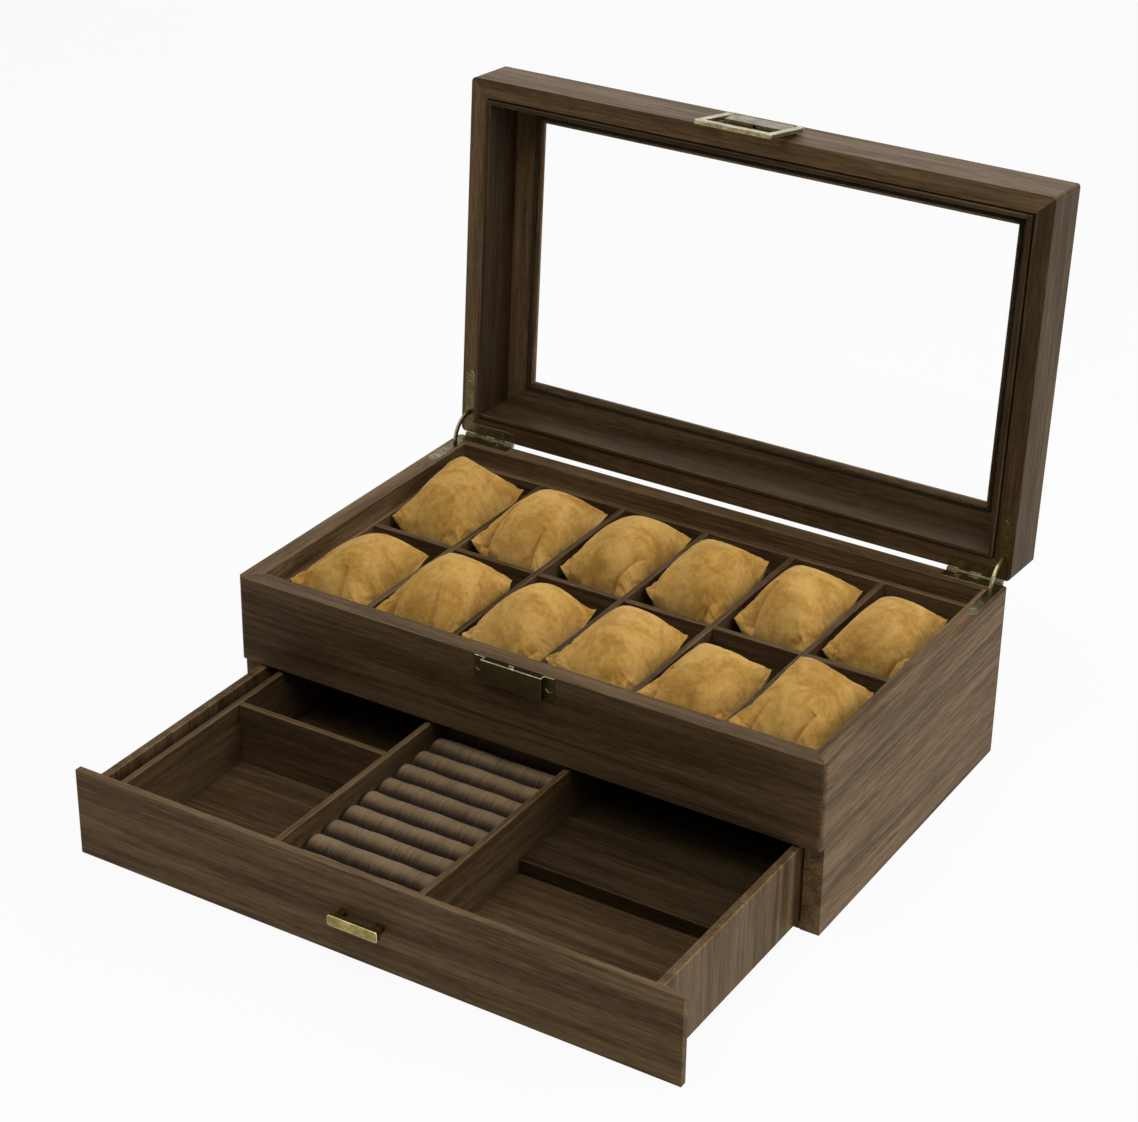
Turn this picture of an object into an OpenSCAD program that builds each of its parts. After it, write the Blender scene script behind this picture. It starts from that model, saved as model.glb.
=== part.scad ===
// Watch box: a tray of pillows under a glazed lid, with a drawer for rings and cufflinks below.
// Millimetres. The origin is the centre of the underside, +Z is up and the drawer opens towards -Y.
// The lid is drawn open on its stays and the drawer is drawn pulled out.

/* [Case] */
// Width over the side panels
case_w = 300; // [270:1:360]
// Depth from the front panel to the back panel
case_d = 182; // [170:1:230]
// Height from the table to the rim
case_h = 86.2; // [82:0.1:110]
// Thickness of the wrapped panels, seen as the width of the rim
wall_t = 9; // [8:0.5:12]
// Radius of the upright corners
corner_r = 2.5; // [0.5:0.5:5]
// Thickness of the floor that the drawer runs on
floor_t = 3.6; // [2.5:0.1:5]
// Height of the drawer's opening, up to the lower edge of the front panel
drawer_zone_h = 43.5; // [38:0.5:48]

/* [Tray] */
// Thickness of the tray's floor
tray_floor_t = 3; // [2:0.5:5]
// Height of the tray's floor over the lower edge of the front panel
tray_floor_rise = 0.8; // [0.4:0.1:3]
// Thickness of the boards that line the tray
liner_t = 3; // [2:0.5:5]
// Thickness of the dividers
divider_t = 3; // [2:0.5:5]
// Depth of the divider tops under the rim
divider_drop = 9; // [6:0.5:14]
// Play between boards that meet inside the tray and the lid
divider_play = 0.1; // [0.05:0.05:0.3]

/* [Pillows] */
// Depth of a pillow from front to back
pillow_d = 61; // [50:1:66]
// Height of a pillow's seam over the tray's floor
pillow_seam_h = 31; // [24:0.5:36]
// Height of a pillow's crown over its seam
pillow_crown = 14; // [8:0.5:16]
// Gap between a pillow's corners and the boards at its sides
pillow_gap = 0.5; // [0.3:0.1:2]
// Gap between a pillow's corners and the board in front of it
pillow_front_gap = 7.5; // [1:0.5:10]
// Depth that the sides of a pillow draw in between their corners
pillow_draw = 1.6; // [0.4:0.2:4]

/* [Lid] */
// Height of the lid over its rim
lid_h = 27.8; // [24:0.2:40]
// Gap between the rims when the lid is shut
lid_gap = 0.4; // [0.3:0.1:1.2]
// Angle from shut to the stays' stop
lid_open = 93.5; // [80:0.5:100]
// Width of the border over the window at the sides
border_side = 26; // [22:0.5:34]
// Width of the border over the window at front and back
border_front = 23.8; // [20:0.2:32]
// Thickness of the border
border_t = 4; // [3.5:0.1:6]
// Thickness of the lip that covers the edge of the glass
glass_lip_t = 1.5; // [1:0.1:1.6]
// Width of the rebate that the glass lies in
rebate_w = 3.5; // [2.5:0.1:5]
// Thickness of the glass
glass_t = 2; // [1.5:0.1:2.2]
// Play of the glass in its rebate
glass_play = 0.2; // [0.1:0.05:0.5]
// Thickness of the sealing strip under the glass
seal_t = 1; // [0.6:0.1:1.5]
// Width of that strip
seal_w = 1.2; // [0.8:0.1:2.2]
// Radius of the edge round the top of the lid
lid_edge_r = 1.5; // [0.5:0.1:2.5]
// Thickness of the lining boards in the lid
lid_liner_t = 2.8; // [2:0.1:3]
// Height that the lining stands proud of the lid's rim
lid_lip_h = 1.2; // [0.8:0.1:3]
// Width of the groove between the lid's rim and its lip
lid_groove_w = 0.8; // [0.5:0.1:1.2]
// Depth of that groove
lid_groove_d = 2.5; // [1:0.1:5]

/* [Hinges] */
// Distance of the hinge pins behind the back panel
hinge_offset = 1.4; // [1.4:0.1:3]
// Radius of the hinge barrels
barrel_r = 1.3; // [1:0.1:1.3]
// Radius of the hinge pins
pin_r = 0.6; // [0.5:0.05:0.7]
// Radial clearance of the pins
pin_fit = 0.05; // [0.02:0.01:0.1]
// Length of a barrel
barrel_len = 28; // [20:1:36]
// Gap between neighbouring knuckles
knuckle_gap = 0.3; // [0.1:0.1:0.5]
// Thickness of the hinge leaves
leaf_t = 1; // [0.8:0.1:1.4]
// Width of the two arms of a leaf
leaf_w = 5.2; // [5:0.1:7]
// Distance from the side of the case to a leaf
leaf_edge = 1.8; // [0.6:0.1:2]
// Length of the arm on the back rim
leaf_back_len = 29.4; // [29:0.2:40]
// Length of the arm on the side rim
leaf_side_len = 32.8; // [30:0.2:40]
// Clearance round a leaf in its recess
leaf_fit = 0.1; // [0.05:0.05:0.2]

/* [Stays] */
// Radius of the stays' centre line about the hinge pins
stay_r = 12; // [11.5:0.5:14]
// Width of the strip that a stay is cut from
stay_w = 2.2; // [1.6:0.1:3]
// Thickness of that strip
stay_t = 1; // [0.8:0.1:1.4]
// Radius of the stop pins at the ends of a stay
stop_r = 0.6; // [0.5:0.05:0.8]
// Length of a stop pin
stop_len = 2.8; // [2.2:0.1:3.2]
// Clearance of the stays in their slots
stay_fit = 0.3; // [0.2:0.05:0.4]

/* [Latch] */
// Width of the raised part of the keeper
keeper_w = 31; // [24:0.5:40]
// Width of each flange of the keeper
keeper_flange = 4.8; // [4:0.1:8]
// Height of the keeper
keeper_h = 11.2; // [8:0.2:16]
// Height that the keeper stands proud of the front panel
keeper_rise = 3.6; // [1.8:0.1:3.7]
// Thickness of the latch's sheet metal
latch_t = 0.8; // [0.6:0.1:1]
// Height of the hasp's pivot over the lid's rim
hasp_pivot_h = 15.8; // [13:0.2:18]
// Width of the bars of the loop
loop_bar = 3.5; // [2.5:0.1:5]
// Width of the loop's lower bar
loop_low_bar = 4.6; // [3:0.1:7]
// Thickness of the loop
loop_t = 2; // [1.4:0.1:2]
// Clearance round the keeper inside the loop
loop_play = 0.8; // [0.4:0.1:1.5]
// Angle that the loop is lifted at rest, clear of the keeper
hasp_lift = 6.6; // [6.6:0.2:10]

/* [Drawer] */
// Distance that the drawer is pulled out
drawer_out = 115.3; // [0:0.1:130]
// Thickness of the drawer's front
drawer_front_t = 3.4; // [3:0.1:6]
// Overhang of the drawer's front past the case at each side
drawer_front_over = 1; // [0:0.1:2]
// Length of the drawer's box behind its front
drawer_len = 164; // [145:1:164]
// Thickness of the drawer's sides and back
drawer_side_t = 4; // [3:0.5:6]
// Clearance between the drawer and the case at each side
drawer_play = 0.8; // [0.4:0.1:2]
// Clearance over the drawer's front
drawer_gap = 0.8; // [0.4:0.1:1.5]
// Clearance between the drawer's front and the table
drawer_front_low = 0.3; // [0.2:0.1:2]
// Height of the drawer's bottom over the lower edge of its sides
drawer_bottom_lift = 4.6; // [2:0.1:8]
// Thickness of the drawer's bottom
drawer_bottom_t = 3; // [2:0.5:5]
// Width of the slot beside the lining wall on the left
side_slot_w = 6.2; // [5:0.1:12]
// Depth of the front left compartment
left_front_d = 80; // [60:1:110]
// Width of the ring compartment
ring_w = 69.5; // [50:0.5:80]
// Offset of the ring compartment from the middle of the drawer
ring_offset = -10; // [-12:0.5:12]
// Depth of the front right compartment
right_front_d = 72.5; // [50:0.5:110]
// Height of the raised shelf in the right compartment
shelf_h = 7.3; // [4:0.1:14]
// Depth of the divider tops under the top of the drawer's sides
drawer_divider_drop = 0.6; // [0:0.1:4]

/* [Ring rolls] */
// Gap between neighbouring rolls
roll_gap = 0.6; // [0.3:0.1:1.5]
// Depth of the rolls' crowns under the divider tops
roll_drop = 7.6; // [1:0.1:9]
// Gap at the ends of the rolls
roll_end_gap = 0.4; // [0.3:0.1:1.5]

/* [Pull] */
// Length of the pull's bar
pull_len = 25; // [18:0.5:40]
// Height of the pull's bar
pull_h = 5.2; // [3.6:0.1:8]
// Thickness of the pull's bar
pull_t = 2.4; // [1.6:0.1:4]
// Gap for the fingers behind the bar
pull_reach = 5; // [4.6:0.1:20]
// Distance between the pull's posts
pull_pitch = 19; // [12:0.5:30]
// Radius of the bar's corners
pull_corner_r = 1.1; // [0.5:0.1:1.7]
// Radius of the posts
post_r = 2.2; // [1.6:0.1:2.4]

/* [Screws] */
// Radius of the small screw heads
screw_head_r = 1.4; // [1.2:0.1:1.6]
// Radius of the small screw shanks
screw_r = 0.7; // [0.5:0.05:0.9]
// Length of the small screws
screw_len = 6; // [4:0.5:7]
// Radial clearance of every screw
screw_fit = 0.05; // [0.02:0.01:0.1]
// Width of the slot in a small screw's head
screw_slot_w = 0.5; // [0.3:0.1:0.7]
// Depth of that slot
screw_slot_d = 0.4; // [0.2:0.1:0.5]
// Radius of the pull's screw heads
pull_screw_head_r = 2.8; // [2.2:0.1:3.5]
// Height of the pull's screw heads
pull_screw_head_h = 1.6; // [1:0.1:2.4]
// Radius of the pull's screws
pull_screw_r = 1; // [0.8:0.05:1.3]

/* [Hidden] */
$fn = 64;
cut = 1;
columns = 6;
rows = 2;
roll_count = 12;
knuckles = 5;

// Case
half_w = case_w / 2;
half_d = case_d / 2;
in_w = half_w - wall_t;
in_d = half_d - wall_t;
front_setback = drawer_front_t + 0.2;
tray_floor_z = drawer_zone_h + tray_floor_rise;
tray_z = tray_floor_z + tray_floor_t;
divider_top = case_h - divider_drop;
divider_h = divider_top - tray_z;
tray_w = in_w - liner_t;
tray_d = in_d - liner_t;
cell_w = (2 * tray_w - (columns - 1) * divider_t) / columns;
cell_d = (2 * tray_d - (rows - 1) * divider_t) / rows;

// Hinges and stays. Angles about the pins start at -Y and grow towards +Z.
axis_y = half_d + hinge_offset;
axis_z = case_h + lid_gap / 2;
leaf_out_x = half_w - leaf_edge;
leaf_in_x = leaf_out_x - leaf_back_len;
leaf_end_y = half_d - leaf_side_len + leaf_w / 2;
leaf_mid_x = leaf_out_x - leaf_w / 2;
knuckle_pitch = barrel_len / knuckles;
stop_angle = asin((lid_gap / 2 + leaf_t + stop_r + 0.1) / stay_r);
stay_end = stop_angle + 3;
pocket_low = -(lid_open / 2 + stay_end + 3);
pocket_t = stop_len + 2 * stay_fit;
side_screw_y = [leaf_end_y + 1.5, leaf_end_y + 9.5];
back_screw_x = leaf_in_x + 7;

// Lid, in its shut place
rim_z = case_h + lid_gap;
lid_top = rim_z + lid_h;
border_z = lid_top - border_t;
glass_top = lid_top - glass_lip_t;
window_w = case_w - 2 * border_side;
window_d = case_d - 2 * border_front;
lid_liner_in_w = in_w - lid_liner_t;

// Latch, in its shut place
keeper_z = case_h - 0.3 - keeper_h;
pivot_z = rim_z + hasp_pivot_h;
hasp_barrel_r = 1.2;
hasp_plate_w = keeper_w - 0.6;
loop_w = keeper_w + 2 * loop_play;
loop_in = latch_t + 0.2;
pivot_out = latch_t + hasp_barrel_r + 0.2;
loop_low = keeper_z - 0.4;
loop_outer_w = loop_w + 2 * loop_bar;
bridge_w = loop_w - 0.6;
bridge_low = rim_z + 5.2;
bridge_out = loop_in + loop_t + 0.2;
hasp_screws_at = [[-10, 3], [0, 3], [10, 3]];

// Drawer, in its shut place
drawer_front_y = -half_d;
box_y = drawer_front_y + drawer_front_t;
box_back_y = box_y + drawer_len;
box_w = in_w - drawer_play;
box_in_w = box_w - drawer_side_t;
box_low = floor_t + 0.1;
front_top = drawer_zone_h - drawer_gap;
side_top = front_top - 0.4;
bottom_z = box_low + drawer_bottom_lift;
drawer_z = bottom_z + drawer_bottom_t;
drawer_divider_top = side_top - drawer_divider_drop;
inner_back_y = box_back_y - drawer_side_t;
liner_x = -box_in_w + side_slot_w;
left_x = liner_x + divider_t;
ring_x = ring_offset - ring_w / 2;
ring_left_x = ring_x - divider_t;
ring_right_x = ring_x + ring_w;
right_x = ring_right_x + divider_t;
left_cross_y = box_y + left_front_d;
shelf_y = box_y + right_front_d;
roll_y = box_y + pull_screw_head_h + 0.2;
roll_pitch = (inner_back_y - roll_y) / roll_count;
roll_d = roll_pitch - roll_gap;
roll_top = drawer_divider_top - roll_drop;
pull_z = (front_top + drawer_front_low) / 2;

WALNUT = "#4a3828";
WALNUT_LIGHT = "#6b5b48";
SUEDE = "#b98c45";
LINEN = "#8a7a5c";
OLD_BRASS = "#7a6f48";
BRIGHT_BRASS = "#c2a85a";
GLASS = "#dfe8ea";
SEAL = "#17130f";
STEEL = "#b4b4b0";

// Places

// Turns a shut lid about the hinge pins to its stop.
module lid_pose() {
    translate([0, axis_y, axis_z])
        rotate([-lid_open, 0, 0])
            translate([0, -axis_y, -axis_z])
                children();
}

// Lifts a latched loop about its pivot on a shut lid.
module hasp_pose() {
    translate([0, -half_d - pivot_out, pivot_z])
        rotate([-hasp_lift, 0, 0])
            translate([0, half_d + pivot_out, -pivot_z])
                children();
}

// Pulls a shut drawer out.
module drawer_pose() {
    translate([0, -drawer_out, 0])
        children();
}

// Reflects what lies under the plane of the hinge pins to the lid's side of it.
module lid_mirror() {
    translate([0, 0, 2 * axis_z])
        mirror([0, 0, 1])
            children();
}

// Keeps the right-hand piece, or reflects it to the left.
module hand(right) {
    if (right)
        children();
    else
        mirror([1, 0, 0])
            children();
}

// Shapes

// A box between two corners.
module block(low, high) {
    translate(low)
        cube(high - low);
}

module rounded_rect(w, d, r) {
    square([w - 2 * r, d], center = true);
    square([w, d - 2 * r], center = true);
    for (x = [-1, 1], y = [-1, 1])
        translate([x * (w / 2 - r), y * (d / 2 - r)])
            circle(r);
}

// One mitred panel of four round a frame, seen from above: the right-hand one.
module side_plan(w) {
    polygon([[half_w, -half_d], [half_w, half_d], [half_w - w, half_d - w], [half_w - w, -half_d + w]]);
}

// The front one of the same four.
module front_plan(w) {
    polygon([[-half_w, -half_d], [half_w, -half_d], [half_w - w, -half_d + w], [-half_w + w, -half_d + w]]);
}

// A panel's plan with the rounded corners of the case.
module rounded_plan() {
    intersection() {
        rounded_rect(case_w, case_d, corner_r);
        children();
    }
}

module ring_sector(inner_r, outer_r, from, to) {
    far = 2 * outer_r;
    intersection() {
        difference() {
            circle(outer_r);
            circle(inner_r);
        }
        polygon(concat([[0, 0]],
            [for (k = [0:4]) let (a = from + (to - from) * k / 4) [far * cos(a), far * sin(a)]]));
    }
}

// Stands a flat sector on edge at a hinge's stay, with its centre on the pins.
module at_stay(thickness) {
    translate([leaf_mid_x, axis_y, axis_z])
        rotate([90, 0, -90])
            linear_extrude(thickness, center = true)
                children();
}

// A flush slotted screw, its head's top at the origin and its shank down -Z.
module flush_screw(head_h) {
    difference() {
        union() {
            translate([0, 0, -head_h])
                cylinder(r = screw_head_r, h = head_h);
            translate([0, 0, -screw_len])
                cylinder(r = screw_r, h = screw_len);
        }
        rotate([0, 0, 35])
            cube([4 * screw_head_r, screw_slot_w, 2 * screw_slot_d], center = true);
    }
}

// The hole that a flush screw's shank needs in the wood under a plate.
module pilot_hole() {
    translate([0, 0, -screw_len - screw_fit])
        cylinder(r = screw_r + screw_fit, h = screw_len + cut);
}

module head_hole(depth) {
    translate([0, 0, -depth - cut])
        cylinder(r = screw_head_r + screw_fit, h = depth + 2 * cut);
}

// Hinges, right-hand and under the plane of the pins

module leaf_plan(grow) {
    translate([leaf_in_x - grow, half_d - leaf_w - grow])
        square([leaf_back_len + 2 * grow, leaf_w + grow]);
    translate([leaf_out_x - leaf_w - grow, leaf_end_y])
        square([leaf_w + 2 * grow, half_d - leaf_end_y]);
    translate([leaf_mid_x, leaf_end_y])
        circle(leaf_w / 2 + grow);
}

module at_leaf_screws() {
    for (y = side_screw_y)
        translate([leaf_mid_x, y, case_h])
            children();
    translate([back_screw_x, half_d - leaf_w / 2, case_h])
        children();
}

// What a leaf, its screws and its stay take out of the panels.
module hinge_recess() {
    translate([0, 0, case_h - leaf_t])
        linear_extrude(leaf_t + cut)
            leaf_plan(leaf_fit);
    block([leaf_in_x - leaf_fit, half_d - cut, case_h - leaf_t],
        [leaf_out_x + leaf_fit, half_d + cut, case_h + cut]);
    at_stay(pocket_t)
        ring_sector(stay_r - stay_w / 2 - stay_fit, stay_r + stay_w / 2 + stay_fit, pocket_low, 20);
    at_leaf_screws()
        pilot_hole();
}

module knuckle(i) {
    x = leaf_in_x + i * knuckle_pitch + knuckle_gap / 2;
    length = knuckle_pitch - knuckle_gap;
    translate([x, axis_y, axis_z])
        rotate([0, 90, 0])
            cylinder(r = barrel_r, h = length);
    block([x, half_d - cut, case_h - leaf_t], [x + length, axis_y, case_h]);
}

// A leaf with every second knuckle, from the first one given.
module hinge_leaf(first) {
    difference() {
        union() {
            translate([0, 0, case_h - leaf_t])
                linear_extrude(leaf_t)
                    leaf_plan(0);
            for (i = [first:2:knuckles - 1])
                knuckle(i);
        }
        translate([leaf_in_x - cut, axis_y, axis_z])
            rotate([0, 90, 0])
                cylinder(r = pin_r + pin_fit, h = barrel_len + 2 * cut);
        at_stay(stay_t + 2 * stay_fit)
            ring_sector(stay_r - stay_w / 2 - stay_fit, stay_r + stay_w / 2 + stay_fit, -40, 20);
        at_leaf_screws()
            head_hole(leaf_t);
    }
}

module hinge_pin() {
    translate([leaf_in_x, axis_y, axis_z])
        rotate([0, 90, 0])
            cylinder(r = pin_r, h = barrel_len);
}

module leaf_screws() {
    at_leaf_screws()
        flush_screw(leaf_t);
}

// Half the stay reaches into the case and half into the lid, each past a stop pin.
module stay() {
    at_stay(stay_t)
        ring_sector(stay_r - stay_w / 2, stay_r + stay_w / 2, -stay_end, lid_open + stay_end);
    for (a = [-stop_angle, lid_open + stop_angle])
        translate([leaf_mid_x, axis_y - stay_r * cos(a), axis_z + stay_r * sin(a)])
            rotate([0, 90, 0])
                cylinder(r = stop_r, h = stop_len, center = true);
}

// Case

module case_side(right) {
    color(WALNUT_LIGHT)
        hand(right)
            difference() {
                union() {
                    linear_extrude(drawer_zone_h)
                        rounded_plan()
                            difference() {
                                side_plan(wall_t);
                                translate([0, -half_d])
                                    square([case_w, 2 * front_setback], center = true);
                                translate([in_w - cut, -half_d])
                                    square([cut, case_d]);
                            }
                    linear_extrude(drawer_zone_h)
                        translate([in_w, -half_d + front_setback])
                            square([wall_t - corner_r, wall_t]);
                    translate([0, 0, drawer_zone_h])
                        linear_extrude(case_h - drawer_zone_h)
                            rounded_plan()
                                side_plan(wall_t);
                }
                hinge_recess();
            }
}

module case_back() {
    color(WALNUT)
        difference() {
            linear_extrude(case_h)
                rounded_plan()
                    mirror([0, 1])
                        front_plan(wall_t);
            hinge_recess();
            hand(false)
                hinge_recess();
        }
}

module at_keeper_screws() {
    for (x = [-1, 1])
        translate([x * (keeper_w + keeper_flange) / 2, -half_d, keeper_z + keeper_h / 2])
            rotate([90, 0, 0])
                children();
}

module case_front() {
    color(WALNUT)
        difference() {
            translate([0, 0, drawer_zone_h])
                linear_extrude(case_h - drawer_zone_h)
                    rounded_plan()
                        front_plan(wall_t);
            at_keeper_screws()
                pilot_hole();
        }
}

module case_floor() {
    color(WALNUT)
        block([-in_w, -half_d + front_setback, 0], [in_w, in_d, floor_t]);
}

// Tray

module tray_floor() {
    color(WALNUT)
        block([-in_w, -in_d, tray_floor_z], [in_w, in_d, tray_z]);
}

module tray_liner() {
    color(WALNUT)
        for (s = [-1, 1]) {
            translate([s * (in_w - liner_t / 2), 0, tray_z + divider_h / 2])
                cube([liner_t, 2 * in_d, divider_h], center = true);
            translate([0, s * (in_d - liner_t / 2), tray_z + divider_h / 2])
                cube([2 * (tray_w - divider_play), liner_t, divider_h], center = true);
        }
}

function cross_x(i) = -tray_w + i * (cell_w + divider_t) - divider_t / 2;

// Slotted from above to the middle for the cross dividers.
module long_divider() {
    slot_w = divider_t + 2 * divider_play;
    color(WALNUT)
        difference() {
            block([-tray_w + divider_play, -divider_t / 2, tray_z],
                [tray_w - divider_play, divider_t / 2, divider_top]);
            for (i = [1:columns - 1])
                block([cross_x(i) - slot_w / 2, -divider_t, tray_z + divider_h / 2],
                    [cross_x(i) + slot_w / 2, divider_t, divider_top + cut]);
        }
}

// Slotted from below to the middle for the long divider.
module cross_dividers() {
    slot_w = divider_t + 2 * divider_play;
    color(WALNUT)
        for (i = [1:columns - 1])
            difference() {
                block([cross_x(i) - divider_t / 2, -tray_d + divider_play, tray_z],
                    [cross_x(i) + divider_t / 2, tray_d - divider_play, divider_top]);
                block([cross_x(i) - divider_t, -slot_w / 2, tray_z - cut],
                    [cross_x(i) + divider_t, slot_w / 2, tray_z + divider_h / 2 + divider_play]);
            }
}

// Pillows

// Spaces the rows of a pillow's net closer together at its edges, from -1 to 1.
function net(k, n) = sin(90 * (2 * k / n - 1));

// How far the cover stands off the seam, from 0 at the seam to 1 over the middle.
function swell(u, v, p) = sqrt(max(0, (1 - pow(abs(u), p)) * (1 - pow(abs(v), p))));

// A sewn pillow with four corners: a low crown over its seam and a full belly under it.
module pillow(i) {
    column = (i - 1) % columns;
    row = floor((i - 1) / columns);
    width = cell_w - 2 * pillow_gap;
    nu = 8;
    nv = 10;
    belly = pillow_seam_h - 0.2;
    place = [cross_x(column) + divider_t / 2 + cell_w / 2,
        -tray_d + row * (cell_d + divider_t) + pillow_front_gap + pillow_d / 2,
        tray_z + pillow_seam_h];
    plan = [for (a = [0:nu], b = [0:nv]) let (u = net(a, nu), v = net(b, nv))
        [u, v, u * (width / 2 - pillow_draw * (1 - v * v)), v * (pillow_d / 2 - pillow_draw * (1 - u * u))]];
    // The upper net comes first, then the inner points of the lower net.
    upper = [for (p = plan) [p[2], p[3], pillow_crown * swell(p[0], p[1], 2.4)]];
    lower = [for (a = [1:nu - 1], b = [1:nv - 1]) let (p = plan[a * (nv + 1) + b])
        [p[2], p[3], -belly * swell(p[0], p[1], 7)]];
    function up(a, b) = a * (nv + 1) + b;
    function low(a, b) = a == 0 || a == nu || b == 0 || b == nv ? up(a, b)
        : len(upper) + (a - 1) * (nv - 1) + b - 1;
    // Each cell is split along the diagonal that leads away from its corner of the pillow.
    top = [for (a = [0:nu - 1], b = [0:nv - 1])
        each (a < nu / 2) == (b < nv / 2)
            ? [[up(a, b), up(a, b + 1), up(a + 1, b + 1)], [up(a, b), up(a + 1, b + 1), up(a + 1, b)]]
            : [[up(a, b), up(a, b + 1), up(a + 1, b)], [up(a + 1, b), up(a, b + 1), up(a + 1, b + 1)]]];
    under = [for (a = [0:nu - 1], b = [0:nv - 1])
        each (a < nu / 2) == (b < nv / 2)
            ? [[low(a, b), low(a + 1, b + 1), low(a, b + 1)], [low(a, b), low(a + 1, b), low(a + 1, b + 1)]]
            : [[low(a, b), low(a + 1, b), low(a, b + 1)], [low(a + 1, b), low(a + 1, b + 1), low(a, b + 1)]]];
    color(SUEDE)
        translate(place)
            polyhedron(concat(upper, lower), concat(top, under));
}

// Case fittings

module hinge_case_leaf(right) {
    color(OLD_BRASS)
        hand(right)
            hinge_leaf(0);
}

module hinge_case_screws() {
    color(OLD_BRASS)
        for (right = [false, true])
            hand(right)
                leaf_screws();
}

module hinge_pins(right) {
    color(OLD_BRASS)
        hand(right)
            hinge_pin();
}

// A hat-section strip with a lug in its top edge.
module latch_keeper() {
    lug_w = 2.4;
    lug_rise = 1.1;
    color(OLD_BRASS)
        difference() {
            union() {
                translate([0, -half_d, keeper_z])
                    mirror([0, 1, 0])
                        linear_extrude(keeper_h) {
                            for (s = [0, 1])
                                mirror([s, 0]) {
                                    translate([keeper_w / 2 - latch_t, 0])
                                        square([keeper_flange + latch_t, latch_t]);
                                    translate([keeper_w / 2 - latch_t, 0])
                                        square([latch_t, keeper_rise]);
                                }
                            translate([-keeper_w / 2, keeper_rise - latch_t])
                                square([keeper_w, latch_t]);
                        }
                block([-lug_w / 2, -half_d - keeper_rise + latch_t / 2, keeper_z + keeper_h / 2],
                    [lug_w / 2, -half_d - keeper_rise + latch_t + 0.5, case_h + lug_rise - 0.3]);
            }
            at_keeper_screws()
                translate([0, 0, latch_t])
                    head_hole(latch_t);
        }
}

module keeper_screws() {
    color(OLD_BRASS)
        at_keeper_screws()
            translate([0, 0, latch_t])
                flush_screw(latch_t);
}

// Lid

// The section of a rail: a wall with the window's border on top, rebated for the glass from inside.
// The first number runs inwards from the outer face, the second up from the table.
module rail_section(border) {
    difference() {
        union() {
            translate([0, rim_z])
                square([wall_t, lid_h]);
            translate([0, border_z])
                square([border, border_t]);
        }
        translate([border - rebate_w, border_z - cut])
            square([rebate_w + cut, glass_top - border_z + cut]);
        translate([0, lid_top])
            outer_round(lid_edge_r);
    }
}

// What a rounded edge takes off the outer corner of a section, the corner at the origin.
module outer_round(r) {
    difference() {
        translate([-cut, -r])
            square([r + cut, r + cut]);
        translate([r, -r])
            circle(r);
    }
}

// Mitred at both ends by the plan it is cut with.
module lid_front() {
    intersection() {
        translate([-half_w, -half_d, 0])
            rotate([90, 0, 90])
                linear_extrude(case_w)
                    rail_section(border_front);
        translate([0, 0, rim_z])
            linear_extrude(lid_h)
                rounded_plan()
                    front_mitre();
    }
}

module lid_side() {
    intersection() {
        translate([half_w, -half_d, 0])
            rotate([90, 0, 180])
                linear_extrude(case_d)
                    rail_section(border_side);
        translate([0, 0, rim_z])
            linear_extrude(lid_h)
                rounded_plan()
                    side_mitre();
    }
}

// The lid's mitres run from its outer corners to the corners of its window.
module front_mitre() {
    polygon([[-half_w, -half_d], [half_w, -half_d], [half_w - wall_t, -half_d + wall_t],
        [window_w / 2 - cut, -window_d / 2 + cut * border_front / border_side],
        [-window_w / 2 + cut, -window_d / 2 + cut * border_front / border_side],
        [-half_w + wall_t, -half_d + wall_t]]);
}

module side_mitre() {
    polygon([[half_w, -half_d], [half_w, half_d], [half_w - wall_t, half_d - wall_t],
        [window_w / 2 - cut, window_d / 2 - cut * border_front / border_side],
        [window_w / 2 - cut, -window_d / 2 + cut * border_front / border_side],
        [half_w - wall_t, -half_d + wall_t]]);
}

module at_hasp_screws() {
    for (at = hasp_screws_at)
        translate([at[0], -half_d, rim_z + at[1]])
            rotate([90, 0, 0])
                children();
}

module lid_front_rail() {
    color(WALNUT_LIGHT)
        lid_pose()
            difference() {
                lid_front();
                at_hasp_screws()
                    pilot_hole();
            }
}

module lid_back_rail() {
    color(WALNUT)
        lid_pose()
            difference() {
                mirror([0, 1, 0])
                    lid_front();
                for (right = [false, true])
                    hand(right)
                        lid_mirror()
                            hinge_recess();
            }
}

module lid_side_rail(right) {
    color(WALNUT_LIGHT)
        lid_pose()
            hand(right)
                difference() {
                    lid_side();
                    lid_mirror()
                        hinge_recess();
                }
}

// The section of a lining board, laid out as a rail's is.
module lid_liner_section() {
    difference() {
        translate([wall_t, rim_z - lid_lip_h])
            square([lid_liner_t, border_z - rim_z + lid_lip_h]);
        translate([wall_t - cut, rim_z - lid_lip_h - cut])
            square([lid_groove_w + cut, lid_lip_h + lid_groove_d + cut]);
    }
}

module lid_liner() {
    color(WALNUT)
        lid_pose()
            for (s = [0, 1]) {
                mirror([0, s, 0])
                    translate([-lid_liner_in_w + divider_play, -half_d, 0])
                        rotate([90, 0, 90])
                            linear_extrude(2 * (lid_liner_in_w - divider_play))
                                lid_liner_section();
                mirror([s, 0, 0])
                    translate([half_w, -in_d + lid_groove_w, 0])
                        rotate([90, 0, 180])
                            linear_extrude(2 * (in_d - lid_groove_w))
                                lid_liner_section();
            }
}

module lid_glass() {
    glass_in = rebate_w - glass_play;
    color(GLASS, 0.3)
        lid_pose()
            translate([0, 0, glass_top - glass_t / 2])
                cube([window_w + 2 * glass_in, window_d + 2 * glass_in, glass_t],
                    center = true);
}

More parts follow.
